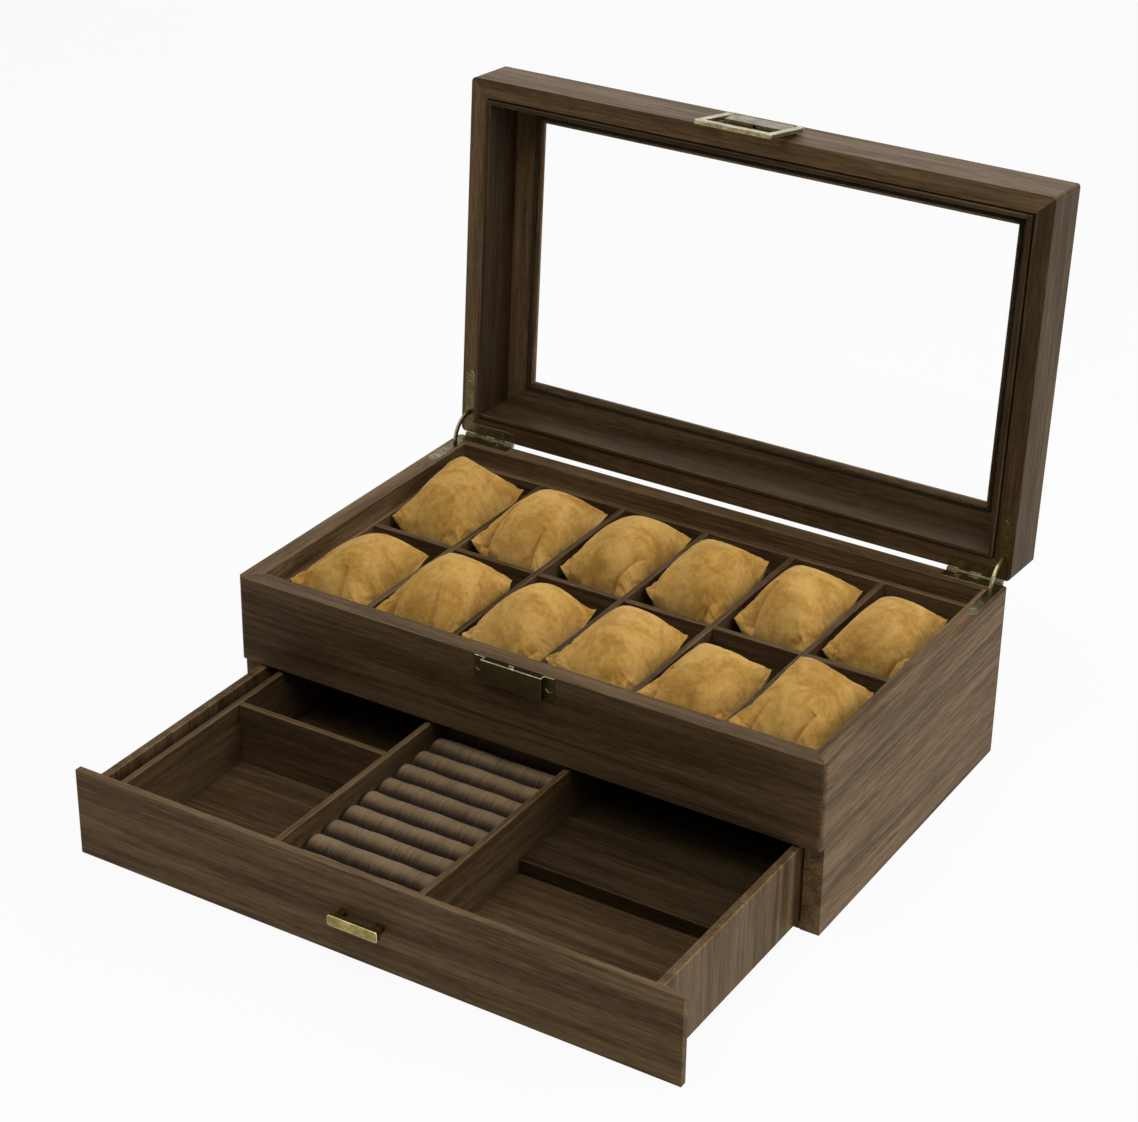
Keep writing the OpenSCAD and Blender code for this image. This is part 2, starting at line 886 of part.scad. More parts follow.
// A bead that holds the glass in its rebate, along the rebate's wall, wider in its corners.
module glass_seal() {
    outer = rebate_w - glass_play;
    inner = outer - seal_w;
    color(SEAL)
        lid_pose()
            translate([0, 0, glass_top - glass_t - seal_t])
                linear_extrude(seal_t)
                    difference() {
                        square([window_w + 2 * outer, window_d + 2 * outer], center = true);
                        rounded_rect(window_w + 2 * inner, window_d + 2 * inner, 3);
                    }
}

// Lid fittings

module hinge_lid_leaf(right) {
    color(OLD_BRASS)
        lid_pose()
            hand(right)
                lid_mirror()
                    hinge_leaf(1);
}

module hinge_lid_screws() {
    color(OLD_BRASS)
        lid_pose()
            for (right = [false, true])
                hand(right)
                    lid_mirror()
                        leaf_screws();
}

module hasp_barrel(from, to, r) {
    translate([from, -half_d - pivot_out, pivot_z])
        rotate([0, 90, 0])
            cylinder(r = r, h = to - from);
}

// A plate with a raised bridge that carries the pin, and a hole in the bridge's lower face.
module hasp_plate() {
    plate_low = rim_z + 0.8;
    plate_high = pivot_z + hasp_barrel_r + 0.8;
    color(OLD_BRASS)
        lid_pose()
            difference() {
                union() {
                    block([-hasp_plate_w / 2, -half_d - latch_t, plate_low],
                        [hasp_plate_w / 2, -half_d, plate_high]);
                    block([-bridge_w / 2, -half_d - bridge_out, bridge_low],
                        [bridge_w / 2, -half_d, pivot_z]);
                    hasp_barrel(-bridge_w / 2, bridge_w / 2, hasp_barrel_r);
                    block([-bridge_w / 2, -half_d - pivot_out, pivot_z - cut],
                        [bridge_w / 2, -half_d, pivot_z + hasp_barrel_r]);
                }
                hasp_barrel(-half_w, half_w, pin_r + pin_fit);
                translate([0, -half_d - (latch_t + bridge_out) / 2, bridge_low - cut])
                    cylinder(r = 0.9, h = 2 + cut);
                at_hasp_screws()
                    translate([0, 0, latch_t])
                        head_hole(latch_t);
            }
}

module hasp_pin() {
    color(OLD_BRASS)
        lid_pose()
            hasp_barrel(-loop_outer_w / 2, loop_outer_w / 2, pin_r);
}

module hasp_screws() {
    color(OLD_BRASS)
        lid_pose()
            at_hasp_screws()
                translate([0, 0, latch_t])
                    flush_screw(latch_t);
}

// A frame of two arms and a lower bar that drops over the keeper.
// The arms turn on the pin at the bridge's ends.
module hasp_loop() {
    low = loop_low - loop_low_bar;
    color(OLD_BRASS)
        lid_pose()
            hasp_pose()
                difference() {
                    union() {
                        translate([0, -half_d - loop_in, 0])
                            rotate([90, 0, 0])
                                linear_extrude(loop_t)
                                    difference() {
                                        translate([0, pivot_z])
                                            rounded_rect(loop_outer_w, 2 * (pivot_z - low), 1.2);
                                        translate([-loop_w / 2, loop_low])
                                            square([loop_w, 2 * pivot_z]);
                                        translate([-half_w, pivot_z])
                                            square([case_w, 2 * pivot_z]);
                                    }
                        for (s = [0, 1])
                            mirror([s, 0, 0])
                                hasp_barrel(loop_w / 2, loop_outer_w / 2, hasp_barrel_r);
                    }
                    hasp_barrel(-half_w, half_w, pin_r + pin_fit);
                }
}

module stays(right) {
    color(OLD_BRASS)
        hand(right)
            stay();
}

// Drawer

module at_pull_screws() {
    for (s = [-1, 1])
        translate([s * pull_pitch / 2, box_y, pull_z])
            rotate([90, 0, 0])
                children();
}

module drawer_front() {
    color(WALNUT)
        drawer_pose()
            difference() {
                block([-half_w - drawer_front_over, drawer_front_y, drawer_front_low],
                    [half_w + drawer_front_over, box_y, front_top]);
                at_pull_screws()
                    translate([0, 0, -cut])
                        cylinder(r = pull_screw_r + screw_fit, h = drawer_front_t + 2 * cut);
            }
}

module drawer_side(right) {
    color(WALNUT_LIGHT)
        drawer_pose()
            hand(right)
                block([box_in_w, box_y, box_low], [box_w, box_back_y, side_top]);
}

module drawer_back() {
    color(WALNUT)
        drawer_pose()
            block([-box_in_w, inner_back_y, box_low], [box_in_w, box_back_y, side_top]);
}

module drawer_bottom() {
    color(WALNUT)
        drawer_pose()
            block([-box_in_w, box_y, bottom_z], [box_in_w, inner_back_y, drawer_z]);
}

// A divider that runs the length of the drawer, its left face at x.
module drawer_long_board(x) {
    color(WALNUT)
        drawer_pose()
            block([x, box_y, drawer_z], [x + divider_t, inner_back_y, drawer_divider_top]);
}

module left_cross_divider() {
    color(WALNUT)
        drawer_pose()
            block([left_x, left_cross_y, drawer_z],
                [ring_left_x, left_cross_y + divider_t, drawer_divider_top]);
}

module raised_shelf() {
    color(WALNUT)
        drawer_pose()
            block([right_x, shelf_y, drawer_z], [box_in_w, inner_back_y, drawer_z + shelf_h]);
}

// Upright pads with round crowns, side by side, that grip a ring between two of them.
module ring_rolls() {
    color(LINEN)
        drawer_pose()
            for (i = [0:roll_count - 1])
                translate([ring_x + roll_end_gap, roll_y + (i + 0.5) * roll_pitch, 0])
                    rotate([90, 0, 90])
                        linear_extrude(ring_w - 2 * roll_end_gap) {
                            translate([-roll_d / 2, drawer_z])
                                square([roll_d, roll_top - roll_d / 2 - drawer_z]);
                            translate([0, roll_top - roll_d / 2])
                                circle(roll_d / 2);
                        }
}

// A flat bar with round ends on two posts.
module drawer_pull() {
    color(BRIGHT_BRASS)
        drawer_pose()
            difference() {
                union() {
                    translate([0, drawer_front_y - pull_reach, pull_z])
                        rotate([90, 0, 0])
                            linear_extrude(pull_t)
                                rounded_rect(pull_len, pull_h, pull_corner_r);
                    for (s = [-1, 1])
                        translate([s * pull_pitch / 2, drawer_front_y, pull_z])
                            rotate([90, 0, 0])
                                cylinder(r = post_r, h = pull_reach + cut);
                }
                at_pull_screws()
                    cylinder(r = pull_screw_r + screw_fit, h = drawer_front_t + pull_reach);
            }
}

module pull_screws() {
    color(STEEL)
        drawer_pose()
            at_pull_screws() {
                translate([0, 0, -pull_screw_head_h])
                    cylinder(r = pull_screw_head_r, h = pull_screw_head_h);
                cylinder(r = pull_screw_r, h = drawer_front_t + pull_reach - 0.2);
            }
}

case_side(false);  // case_left_side
case_side(true);  // case_right_side
case_back();
case_front();
case_floor();
tray_floor();
tray_liner();
long_divider();
cross_dividers();
for (i = [1:columns * rows])
    pillow(i);
hinge_case_leaf(false);  // hinge_case_leaf_left
hinge_case_leaf(true);  // hinge_case_leaf_right
hinge_pins(false);  // hinge_pin_left
hinge_pins(true);  // hinge_pin_right
hinge_case_screws();
latch_keeper();
keeper_screws();
lid_front_rail();
lid_back_rail();
lid_side_rail(false);  // lid_left_rail
lid_side_rail(true);  // lid_right_rail
lid_liner();
lid_glass();
glass_seal();
hinge_lid_leaf(false);  // hinge_lid_leaf_left
hinge_lid_leaf(true);  // hinge_lid_leaf_right
hinge_lid_screws();
hasp_plate();
hasp_pin();
hasp_screws();
hasp_loop();
stays(false);  // stay_left
stays(true);  // stay_right
drawer_front();
drawer_side(false);  // drawer_left_side
drawer_side(true);  // drawer_right_side
drawer_back();
drawer_bottom();
drawer_long_board(liner_x);  // drawer_liner
drawer_long_board(ring_left_x);  // ring_divider_left
drawer_long_board(ring_right_x);  // ring_divider_right
left_cross_divider();
raised_shelf();
ring_rolls();
drawer_pull();
pull_screws();
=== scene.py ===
"""Watch box with a glass lid and a drawer: materials, soft pieces, light and camera."""

import math

import bpy
import numpy as np
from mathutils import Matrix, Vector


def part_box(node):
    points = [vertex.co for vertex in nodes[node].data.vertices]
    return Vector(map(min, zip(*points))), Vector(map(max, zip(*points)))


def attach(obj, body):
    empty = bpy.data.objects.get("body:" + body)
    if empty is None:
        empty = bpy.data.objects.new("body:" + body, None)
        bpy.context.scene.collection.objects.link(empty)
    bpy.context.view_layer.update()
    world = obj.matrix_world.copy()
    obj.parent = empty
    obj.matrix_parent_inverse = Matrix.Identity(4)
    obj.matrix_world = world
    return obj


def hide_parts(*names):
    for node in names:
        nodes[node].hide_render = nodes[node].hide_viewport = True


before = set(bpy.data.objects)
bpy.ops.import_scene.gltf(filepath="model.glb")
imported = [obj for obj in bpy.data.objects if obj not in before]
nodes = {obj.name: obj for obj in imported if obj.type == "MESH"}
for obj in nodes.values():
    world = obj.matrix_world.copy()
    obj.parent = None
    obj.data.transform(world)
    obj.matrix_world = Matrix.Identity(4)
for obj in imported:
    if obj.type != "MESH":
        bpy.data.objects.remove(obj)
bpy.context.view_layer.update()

MM = 0.001

# How far the lid leans back past upright at rest, in degrees.
LID_LEAN = 3.5

# Camera
CAMERA_PLACE = (0.55446, -0.95715, 0.67884)
CAMERA_TURN = (62.21825, -0.69245, 31.72389)
CAMERA_LENS = 87.185
CAMERA_SENSOR = 36.0

# Even light from all round, and the soft lights: name, place, what it faces, width and power.
AMBIENT = 0.12
LIGHTS = (
    ("overhead", (0.15, -0.45, 1.50), (0.0, -0.05, 0.08), 1.3, 16.0),
    ("side", (1.40, 0.45, 0.75), (0.0, 0.0, 0.08), 1.0, 13.0),
    ("back", (-0.6, 1.5, 1.0), (0.0, 0.0, 0.10), 1.2, 4.0),
)

# Floor: half its width and how far it lies under the object, in metres, its grey, and how white it shows.
FLOOR_HALF = 6.0
FLOOR_DROP = 0.0001
FLOOR_GREY = 0.86
FLOOR_WHITE = 0.92

# Walnut sheet, from its darkest streak to its lightest, as linear colour.
WALNUT_TONES = (
    (0.15, (0.056, 0.032, 0.014)),
    (0.42, (0.108, 0.065, 0.030)),
    (0.60, (0.148, 0.092, 0.044)),
    (0.85, (0.212, 0.138, 0.071)),
)
# How much lighter its rounded edges are painted: a painted highlight along the edges.
WALNUT_EDGE_HIGHLIGHT = 1.60
# Its marks: length along the grain and width across it, in metres, and how much each kind counts.
BAND_SIZE = (0.26, 0.011)
BAND_WEIGHT = 0.42
STREAK_SIZE = (0.042, 0.0016)
STREAK_WEIGHT = 0.36
PORE_SIZE = (0.007, 0.00045)
PORE_WEIGHT = 0.22

# Suede, from the nap laid one way to the nap laid the other way.
SUEDE_TONES = (
    (0.20, (0.395, 0.203, 0.040)),
    (0.50, (0.540, 0.310, 0.074)),
    (0.80, (0.635, 0.392, 0.114)),
)
SUEDE_SHEEN = (1.0, 0.80, 0.45, 1.0)
# Sizes of its clouds, nap and fibre, in metres.
SUEDE_CLOUD = (0.017, 0.017, 0.017)
SUEDE_NAP = (0.0022, 0.0030, 0.0022)
SUEDE_FIBRE = (0.00028, 0.00028, 0.00028)

# Ribbed cloth of the ring rolls, from its darkest, the painted shade low in the grooves, to its lightest, the
# painted light on the crowns.
RIB_TONES = (
    (0.12, (0.009, 0.005, 0.002)),
    (0.50, (0.060, 0.037, 0.018)),
    (0.88, (0.265, 0.178, 0.092)),
)
# Sizes of its ribs, threads and patches, and how far down from the crown its painted light reaches, in
# metres: it is painted paler at the crown and darker lower down, as painted shade in the grooves.
RIB_SIZE = (0.0007, 0.02, 0.02)
RIB_THREAD = (0.0003, 0.004, 0.004)
RIB_PATCH = (0.014, 0.009, 0.009)
RIB_PAINTED_LIGHT_DEPTH = 0.0030

# Brass, from its deepest patina to where it is rubbed.
DARK_BRASS_TONES = (
    (0.20, (0.060, 0.046, 0.018)),
    (0.55, (0.100, 0.079, 0.033)),
    (0.85, (0.150, 0.122, 0.058)),
)
OLD_BRASS_TONES = (
    (0.30, (0.160, 0.132, 0.066)),
    (0.55, (0.300, 0.256, 0.136)),
    (0.75, (0.430, 0.380, 0.220)),
)
# Painted highlight: lighter brass for the rounded edges.
HIGHLIGHT_BRASS_TONES = (
    (0.30, (0.300, 0.255, 0.130)),
    (0.55, (0.520, 0.455, 0.270)),
    (0.75, (0.720, 0.660, 0.440)),
)
PULL_TONES = (
    (0.25, (0.165, 0.124, 0.034)),
    (0.55, (0.275, 0.215, 0.070)),
    (0.80, (0.410, 0.335, 0.135)),
)
# Painted highlight: much lighter brass for the pull's rounded edges.
PULL_EDGE_TONES = (
    (0.25, (0.560, 0.470, 0.190)),
    (0.55, (0.760, 0.680, 0.340)),
    (0.80, (0.900, 0.840, 0.520)),
)
# Size of a brush mark, in metres.
BRUSH_SIZE = (0.006, 0.0004, 0.0004)

SEAL_TONES = (
    (0.3, (0.014, 0.011, 0.006)),
    (0.7, (0.046, 0.038, 0.022)),
)

# Low, so that the pane's reflection stays faint.
GLASS_INDEX = 1.12

# Numbers of a Mix node's vector sockets.
MIX_FIRST_VECTOR = 4
MIX_SECOND_VECTOR = 5
MIX_VECTOR_RESULT = 1


def material_and_shader(name):
    """A new node material and its main shader."""
    material = bpy.data.materials.new(name)
    material.use_nodes = True
    return material, material.node_tree, material.node_tree.nodes["Principled BSDF"]


def object_place(tree):
    """Coordinates in the row frame, in metres."""
    return tree.nodes.new("ShaderNodeTexCoord").outputs["Object"]


def stretched(tree, place, size, shift=(0.0, 0.0, 0.0), lean=0.0):
    """Coordinates measured in units of size along each axis, from shift, with the axes leaned about X."""
    mapping = tree.nodes.new("ShaderNodeMapping")
    mapping.vector_type = "TEXTURE"
    mapping.inputs["Location"].default_value = shift
    mapping.inputs["Rotation"].default_value = (math.radians(lean), 0.0, 0.0)
    mapping.inputs["Scale"].default_value = size
    tree.links.new(place, mapping.inputs["Vector"])
    return mapping.outputs["Vector"]


def noise(tree, vector, detail=3.0, rough=0.55, distortion=0.0, scale=1.0):
    """A noise value from about 0.2 to 0.8 at vector."""
    texture = tree.nodes.new("ShaderNodeTexNoise")
    texture.inputs["Scale"].default_value = scale
    texture.inputs["Detail"].default_value = detail
    texture.inputs["Roughness"].default_value = rough
    texture.inputs["Distortion"].default_value = distortion
    tree.links.new(vector, texture.inputs["Vector"])
    return texture.outputs["Fac"]


def arithmetic(tree, operation, first, second, clamp=False):
    """One Math node; each side is a socket or a number."""
    node = tree.nodes.new("ShaderNodeMath")
    node.operation = operation
    node.use_clamp = clamp
    for socket, value in zip(node.inputs, (first, second)):
        if isinstance(value, (int, float)):
            socket.default_value = value
        else:
            tree.links.new(value, socket)
    return node.outputs["Value"]


def weighted(tree, *pairs):
    """The sum of socket times weight over the pairs."""
    total = None
    for socket, weight in pairs:
        part = arithmetic(tree, "MULTIPLY", socket, weight)
        total = part if total is None else arithmetic(tree, "ADD", total, part)
    return total


def ramp(tree, value, tones, light_and_shade_gain=1.0):
    """A colour from tones, which are (position, linear colour), made lighter or darker by a factor, which on
    the walnut paints light and shade.
    """
    node = tree.nodes.new("ShaderNodeValToRGB")
    node.color_ramp.interpolation = "B_SPLINE"
    stops = node.color_ramp.elements
    while len(stops) < len(tones):
        stops.new(0.5)
    for stop, (position, colour) in zip(stops, tones):
        stop.position = position
        stop.color = tuple(min(1.0, part * light_and_shade_gain) for part in colour) + (1.0,)
    tree.links.new(value, node.inputs["Fac"])
    return node.outputs["Color"]


def spread(tree, value, low, high, start=0.3, end=0.7):
    """value from start to end becomes low to high."""
    node = tree.nodes.new("ShaderNodeMapRange")
    node.inputs["From Min"].default_value = start
    node.inputs["From Max"].default_value = end
    node.inputs["To Min"].default_value = low
    node.inputs["To Max"].default_value = high
    tree.links.new(value, node.inputs["Value"])
    return node.outputs["Result"]


def bump(tree, shader, height, strength, depth):
    """Raises the shader's surface by height times depth, in metres."""
    node = tree.nodes.new("ShaderNodeBump")
    node.inputs["Strength"].default_value = strength
    node.inputs["Distance"].default_value = depth
    tree.links.new(height, node.inputs["Height"])
    tree.links.new(node.outputs["Normal"], shader.inputs["Normal"])


def along(grain, length, width):
    """The size of a mark that is length along the grain axis and width across it."""
    return tuple(length if axis == grain else width for axis in "XYZ")


def walnut(name, grain, shift=(0.0, 0.0, 0.0), lean=0.0, side_from=None, side_grain="Y", light_and_shade_gain=1.0):
    """Walnut-print sheet with its grain along one axis. Past side_from to either side, in metres, the grain
    runs along side_grain, for a frame of four boards in one node."""
    material, tree, shader = material_and_shader(name)
    place = object_place(tree)

    side = None
    if side_from is not None:
        parts = tree.nodes.new("ShaderNodeSeparateXYZ")
        tree.links.new(place, parts.inputs["Vector"])
        out = arithmetic(tree, "ABSOLUTE", parts.outputs["X"], 0.0)
        side = arithmetic(tree, "GREATER_THAN", out, side_from)

    def marks(length, width, **kind):
        main = stretched(tree, place, along(grain, length, width), shift, lean)
        if side is not None:
            across = stretched(tree, place, along(side_grain, length, width), shift, lean)
            choose = tree.nodes.new("ShaderNodeMix")
            choose.data_type = "VECTOR"
            tree.links.new(side, choose.inputs["Factor"])
            tree.links.new(main, choose.inputs[MIX_FIRST_VECTOR])
            tree.links.new(across, choose.inputs[MIX_SECOND_VECTOR])
            main = choose.outputs[MIX_VECTOR_RESULT]
        return noise(tree, main, **kind)

    bands = marks(*BAND_SIZE, detail=2.5, distortion=0.9)
    streaks = marks(*STREAK_SIZE, detail=4.0, rough=0.62, distortion=0.6)
    pores = marks(*PORE_SIZE, detail=1.5, rough=0.5)
    tone = weighted(tree, (bands, BAND_WEIGHT), (streaks, STREAK_WEIGHT), (pores, PORE_WEIGHT))
    # The gain paints light and shade on the sheet: darker on boards in shade, lighter on lit boards and along
    # the edges as a painted highlight.
    colour = ramp(tree, spread(tree, tone, 0.0, 1.0, 0.33, 0.67), WALNUT_TONES, light_and_shade_gain)
    tree.links.new(colour, shader.inputs["Base Color"])
    tree.links.new(spread(tree, streaks, 0.52, 0.40), shader.inputs["Roughness"])
    bump(tree, shader, weighted(tree, (streaks, 0.6), (pores, 0.4)), 0.22, 0.0003)
    shader.inputs["Specular IOR Level"].default_value = 0.05
    return material


def suede():
    """Tan suede: soft clouds of nap, fine fibre, and a dusty sheen."""
    material, tree, shader = material_and_shader("suede")
    place = object_place(tree)
    clouds = noise(tree, stretched(tree, place, SUEDE_CLOUD), detail=4.0, rough=0.6, distortion=0.8)
    nap = noise(tree, stretched(tree, place, SUEDE_NAP), detail=3.0, rough=0.7)
    fibre = noise(tree, stretched(tree, place, SUEDE_FIBRE), detail=2.0, rough=0.6)
    tone = weighted(tree, (clouds, 0.55), (nap, 0.25), (fibre, 0.20))
    colour = ramp(tree, spread(tree, tone, 0.0, 1.0, 0.35, 0.65), SUEDE_TONES)
    tree.links.new(colour, shader.inputs["Base Color"])
    tree.links.new(spread(tree, nap, 0.98, 0.86), shader.inputs["Roughness"])
    bump(tree, shader, weighted(tree, (nap, 0.5), (fibre, 0.5)), 0.30, 0.0003)
    shader.inputs["Diffuse Roughness"].default_value = 0.5
    shader.inputs["Specular IOR Level"].default_value = 0.08
    shader.inputs["Sheen Weight"].default_value = 0.40
    shader.inputs["Sheen Roughness"].default_value = 0.35
    shader.inputs["Sheen Tint"].default_value = SUEDE_SHEEN
    return material


def ribbed_cloth(crown_height):
    """Taupe cloth with fine uneven ribs that run round each roll, painted paler towards the crown and darker
    towards the grooves: painted light and shade.
    """
    material, tree, shader = material_and_shader("ribbed_cloth")
    place = object_place(tree)
    ribs = noise(tree, stretched(tree, place, RIB_SIZE), detail=2.0, rough=0.6)
    threads = noise(tree, stretched(tree, place, RIB_THREAD), detail=2.0, rough=0.6)
    patches = noise(tree, stretched(tree, place, RIB_PATCH), detail=2.0)
    parts = tree.nodes.new("ShaderNodeSeparateXYZ")
    tree.links.new(place, parts.inputs["Vector"])
    # Painted light and shade: the cloth is paler at the crown and darker lower down.
    painted_light = spread(tree, parts.outputs["Z"], 0.0, 1.0, crown_height - RIB_PAINTED_LIGHT_DEPTH, crown_height)
    weave = weighted(tree, (ribs, 0.45), (threads, 0.30), (patches, 0.25))
    tone = weighted(tree, (spread(tree, weave, 0.0, 1.0, 0.30, 0.70), 0.42), (painted_light, 0.58))
    tree.links.new(ramp(tree, tone, RIB_TONES), shader.inputs["Base Color"])
    tree.links.new(spread(tree, threads, 0.95, 0.80), shader.inputs["Roughness"])
    bump(tree, shader, weighted(tree, (ribs, 0.6), (threads, 0.4)), 0.35, 0.0003)
    shader.inputs["Specular IOR Level"].default_value = 0.15
    shader.inputs["Sheen Weight"].default_value = 0.12
    shader.inputs["Sheen Roughness"].default_value = 0.5
    return material


def brass(name, tones, patina, polish):
    """Brass with a cloudy patina of that size in metres, brushed fine, at that mean roughness."""
    material, tree, shader = material_and_shader(name)
    place = object_place(tree)
    clouds = noise(tree, stretched(tree, place, (patina,) * 3), detail=4.0, rough=0.6, distortion=0.6)
    brushed = noise(tree, stretched(tree, place, BRUSH_SIZE), detail=2.0, rough=0.6)
    tone = weighted(tree, (clouds, 0.65), (brushed, 0.35))
    tree.links.new(ramp(tree, spread(tree, tone, 0.0, 1.0, 0.30, 0.70), tones), shader.inputs["Base Color"])
    tree.links.new(spread(tree, tone, polish + 0.10, polish - 0.06), shader.inputs["Roughness"])
    bump(tree, shader, brushed, 0.12, 0.0001)
    shader.inputs["Metallic"].default_value = 1.0
    return material


def clear_glass():
    """Clear pane with a trace of surface ripple."""
    material, tree, shader = material_and_shader("clear_glass")
    place = object_place(tree)
    ripple = noise(tree, stretched(tree, place, (0.09,) * 3), detail=1.0)
    bump(tree, shader, ripple, 0.02, 0.0002)
    shader.inputs["Base Color"].default_value = (1.0, 1.0, 1.0, 1.0)
    shader.inputs["Roughness"].default_value = 0.0
    shader.inputs["IOR"].default_value = GLASS_INDEX
    shader.inputs["Transmission Weight"].default_value = 1.0
    return material


def dark_seal():
    """Dark sealing strip, slightly uneven."""
    material, tree, shader = material_and_shader("dark_seal")
    place = object_place(tree)
    uneven = noise(tree, stretched(tree, place, (0.003,) * 3), detail=3.0)
    tree.links.new(ramp(tree, uneven, SEAL_TONES), shader.inputs["Base Color"])
    tree.links.new(spread(tree, uneven, 0.65, 0.85), shader.inputs["Roughness"])
    bump(tree, shader, uneven, 0.3, 0.0002)
    shader.inputs["Specular IOR Level"].default_value = 0.05
    return material


def dress(node, *materials):
    """Gives a CAD node these materials in place of its own."""
    slots = nodes[node].data.materials
    slots.clear()
    for material in materials:
        slots.append(material)


# Points nearer than the gap, in metres, are one point. Faces within the flat angle, in degrees, are one flat,
# and an edge past the hard angle is rounded.
WELD_GAP = 0.00001
FLAT_ANGLE = 1.0
HARD_ANGLE = 38.0


def soften(node, width, steps=2, merged=True):
    """Rounds the node's hard edges by width, in millimetres, or less at short edges. The rounded strip takes
    the node's last material. Where merged, the triangles of each flat face become one face first."""
    obj = nodes[node]
    weld = obj.modifiers.new("weld", "WELD")
    weld.merge_threshold = WELD_GAP
    if merged:
        flats = obj.modifiers.new("flats", "DECIMATE")
        flats.decimate_type = "DISSOLVE"
        flats.angle_limit = math.radians(FLAT_ANGLE)
    edges = obj.modifiers.new("edges", "BEVEL")
    edges.width = width * MM
    edges.segments = steps
    edges.limit_method = "ANGLE"
    edges.angle_limit = math.radians(HARD_ANGLE)
    edges.miter_outer = "MITER_ARC"
    edges.material = len(obj.data.materials) - 1
    normals = obj.modifiers.new("normals", "WEIGHTED_NORMAL")
    normals.keep_sharp = True
    for polygon in obj.data.polygons:
        polygon.use_smooth = True


# Walnut boards: node, grain axis, where its pattern starts, in metres, and how light its sheet is painted,
# which is painted light and shade: boards in shade, such as the drawer's floor, the shelf and the lid's inner
# boards, get a darker sheet, and lit ones a lighter one.
BOARDS = (
    ("case_front", "X", (0.031, 0.400, 0.117), 0.73),
    ("case_back", "X", (0.210, 0.910, 0.233), 0.90),
    ("case_left_side", "Y", (0.512, 0.120, 0.331), 1.06),
    ("case_right_side", "Y", (0.733, 0.065, 0.472), 1.08),
    ("case_floor", "X", (0.120, 0.330, 0.640), 0.60),
    ("tray_floor", "X", (0.450, 0.150, 0.870), 0.60),
    ("long_divider", "X", (0.670, 0.280, 0.290), 0.62),
    ("cross_dividers", "Y", (0.140, 0.530, 0.710), 0.62),
    ("drawer_front", "X", (0.390, 0.740, 0.052), 0.93),
    ("drawer_left_side", "Z", (0.260, 0.610, 0.350), 0.80),
    ("drawer_right_side", "Z", (0.880, 0.440, 0.160), 0.80),
    ("drawer_back", "X", (0.540, 0.190, 0.480), 0.60),
    ("drawer_bottom", "X", (0.070, 0.860, 0.270), 0.58),
    ("drawer_liner", "Y", (0.620, 0.350, 0.940), 0.66),
    ("ring_divider_left", "Y", (0.310, 0.720, 0.580), 0.66),
    ("ring_divider_right", "Y", (0.470, 0.090, 0.130), 0.66),
    ("left_cross_divider", "X", (0.920, 0.570, 0.410), 0.66),
    ("raised_shelf", "X", (0.180, 0.240, 0.760), 0.26),
)
LID_BOARDS = (
    ("lid_front_rail", "X", (0.350, 0.810, 0.620), 0.88),
    ("lid_back_rail", "X", (0.590, 0.260, 0.440), 0.72),
    ("lid_left_rail", "Z", (0.080, 0.470, 0.530), 0.86),
    ("lid_right_rail", "Z", (0.760, 0.130, 0.250), 0.54),
)
# Frames of four boards in one node: node, grain of its side boards, lean, and how light its sheet is painted,
# which is painted shade, darkest in the lid's liner.
FRAMES = (
    ("tray_liner", "Y", 0.0, 0.66),
    ("lid_liner", "Z", -LID_LEAN, 0.34),
)
FRAME_SHIFT = (0.27, 0.63, 0.15)
FRAME_BOARD = 3.5 * MM

# Rounded edges of boards and frames, in millimetres.
BOARD_EDGE = 0.55
FRAME_EDGE = 0.5


def dress_boards():
    """Walnut on every board, each sheet painted lighter or darker for the light and shade it lies in, with a
    painted highlight as a paler strip along the edges.
    """
    for boards, lean in ((BOARDS, 0.0), (LID_BOARDS, -LID_LEAN)):
        for node, grain, shift, light_and_shade_gain in boards:
            face = walnut("walnut_" + node, grain, shift, lean, light_and_shade_gain=light_and_shade_gain)
            # The edge sheet is painted lighter, a painted highlight on the rounded edges.
            edge = walnut("edge_" + node, grain, shift, lean, light_and_shade_gain=light_and_shade_gain * WALNUT_EDGE_HIGHLIGHT)
            dress(node, face, edge)
            soften(node, BOARD_EDGE, 3)
    for node, side_grain, lean, light_and_shade_gain in FRAMES:
        side_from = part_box(node)[1].x - FRAME_BOARD
        face = walnut("walnut_" + node, "X", FRAME_SHIFT, lean, side_from, side_grain, light_and_shade_gain)
        # The edge sheet is painted lighter, a painted highlight on the rounded edges.
        edge = walnut("edge_" + node, "X", FRAME_SHIFT, lean, side_from, side_grain, light_and_shade_gain * WALNUT_EDGE_HIGHLIGHT)
        dress(node, face, edge)
        soften(node, FRAME_EDGE, 3)


# Metal: nodes and the width of their rounded edge, in millimetres, which is painted lighter as a painted
# highlight.
DARK_BRASS_NODES = (
    ("hinge_case_leaf_left", 0.15),
    ("hinge_case_leaf_right", 0.15),
    ("hinge_lid_leaf_left", 0.15),
    ("hinge_lid_leaf_right", 0.15),
    ("latch_keeper", 0.40),
    # The hasp plate takes the dark brass partly as patina and partly as painted shade.
    ("hasp_plate", 0.18),
    ("hinge_case_screws", 0.22),
    ("hinge_lid_screws", 0.15),
)
DARK_SCREW_NODES = ("keeper_screws", "hasp_screws")
OLD_BRASS_NODES = (
    ("hasp_loop", 0.25),
    ("hasp_pin", 0.08),
    ("hinge_pin_left", 0.08),
    ("hinge_pin_right", 0.08),
)
STAY_NODES = ("stay_left", "stay_right")
SCREW_EDGE = 0.08
STAY_EDGE = 0.15
PULL_EDGE = 0.6
PULL_SCREW_EDGE = 0.1


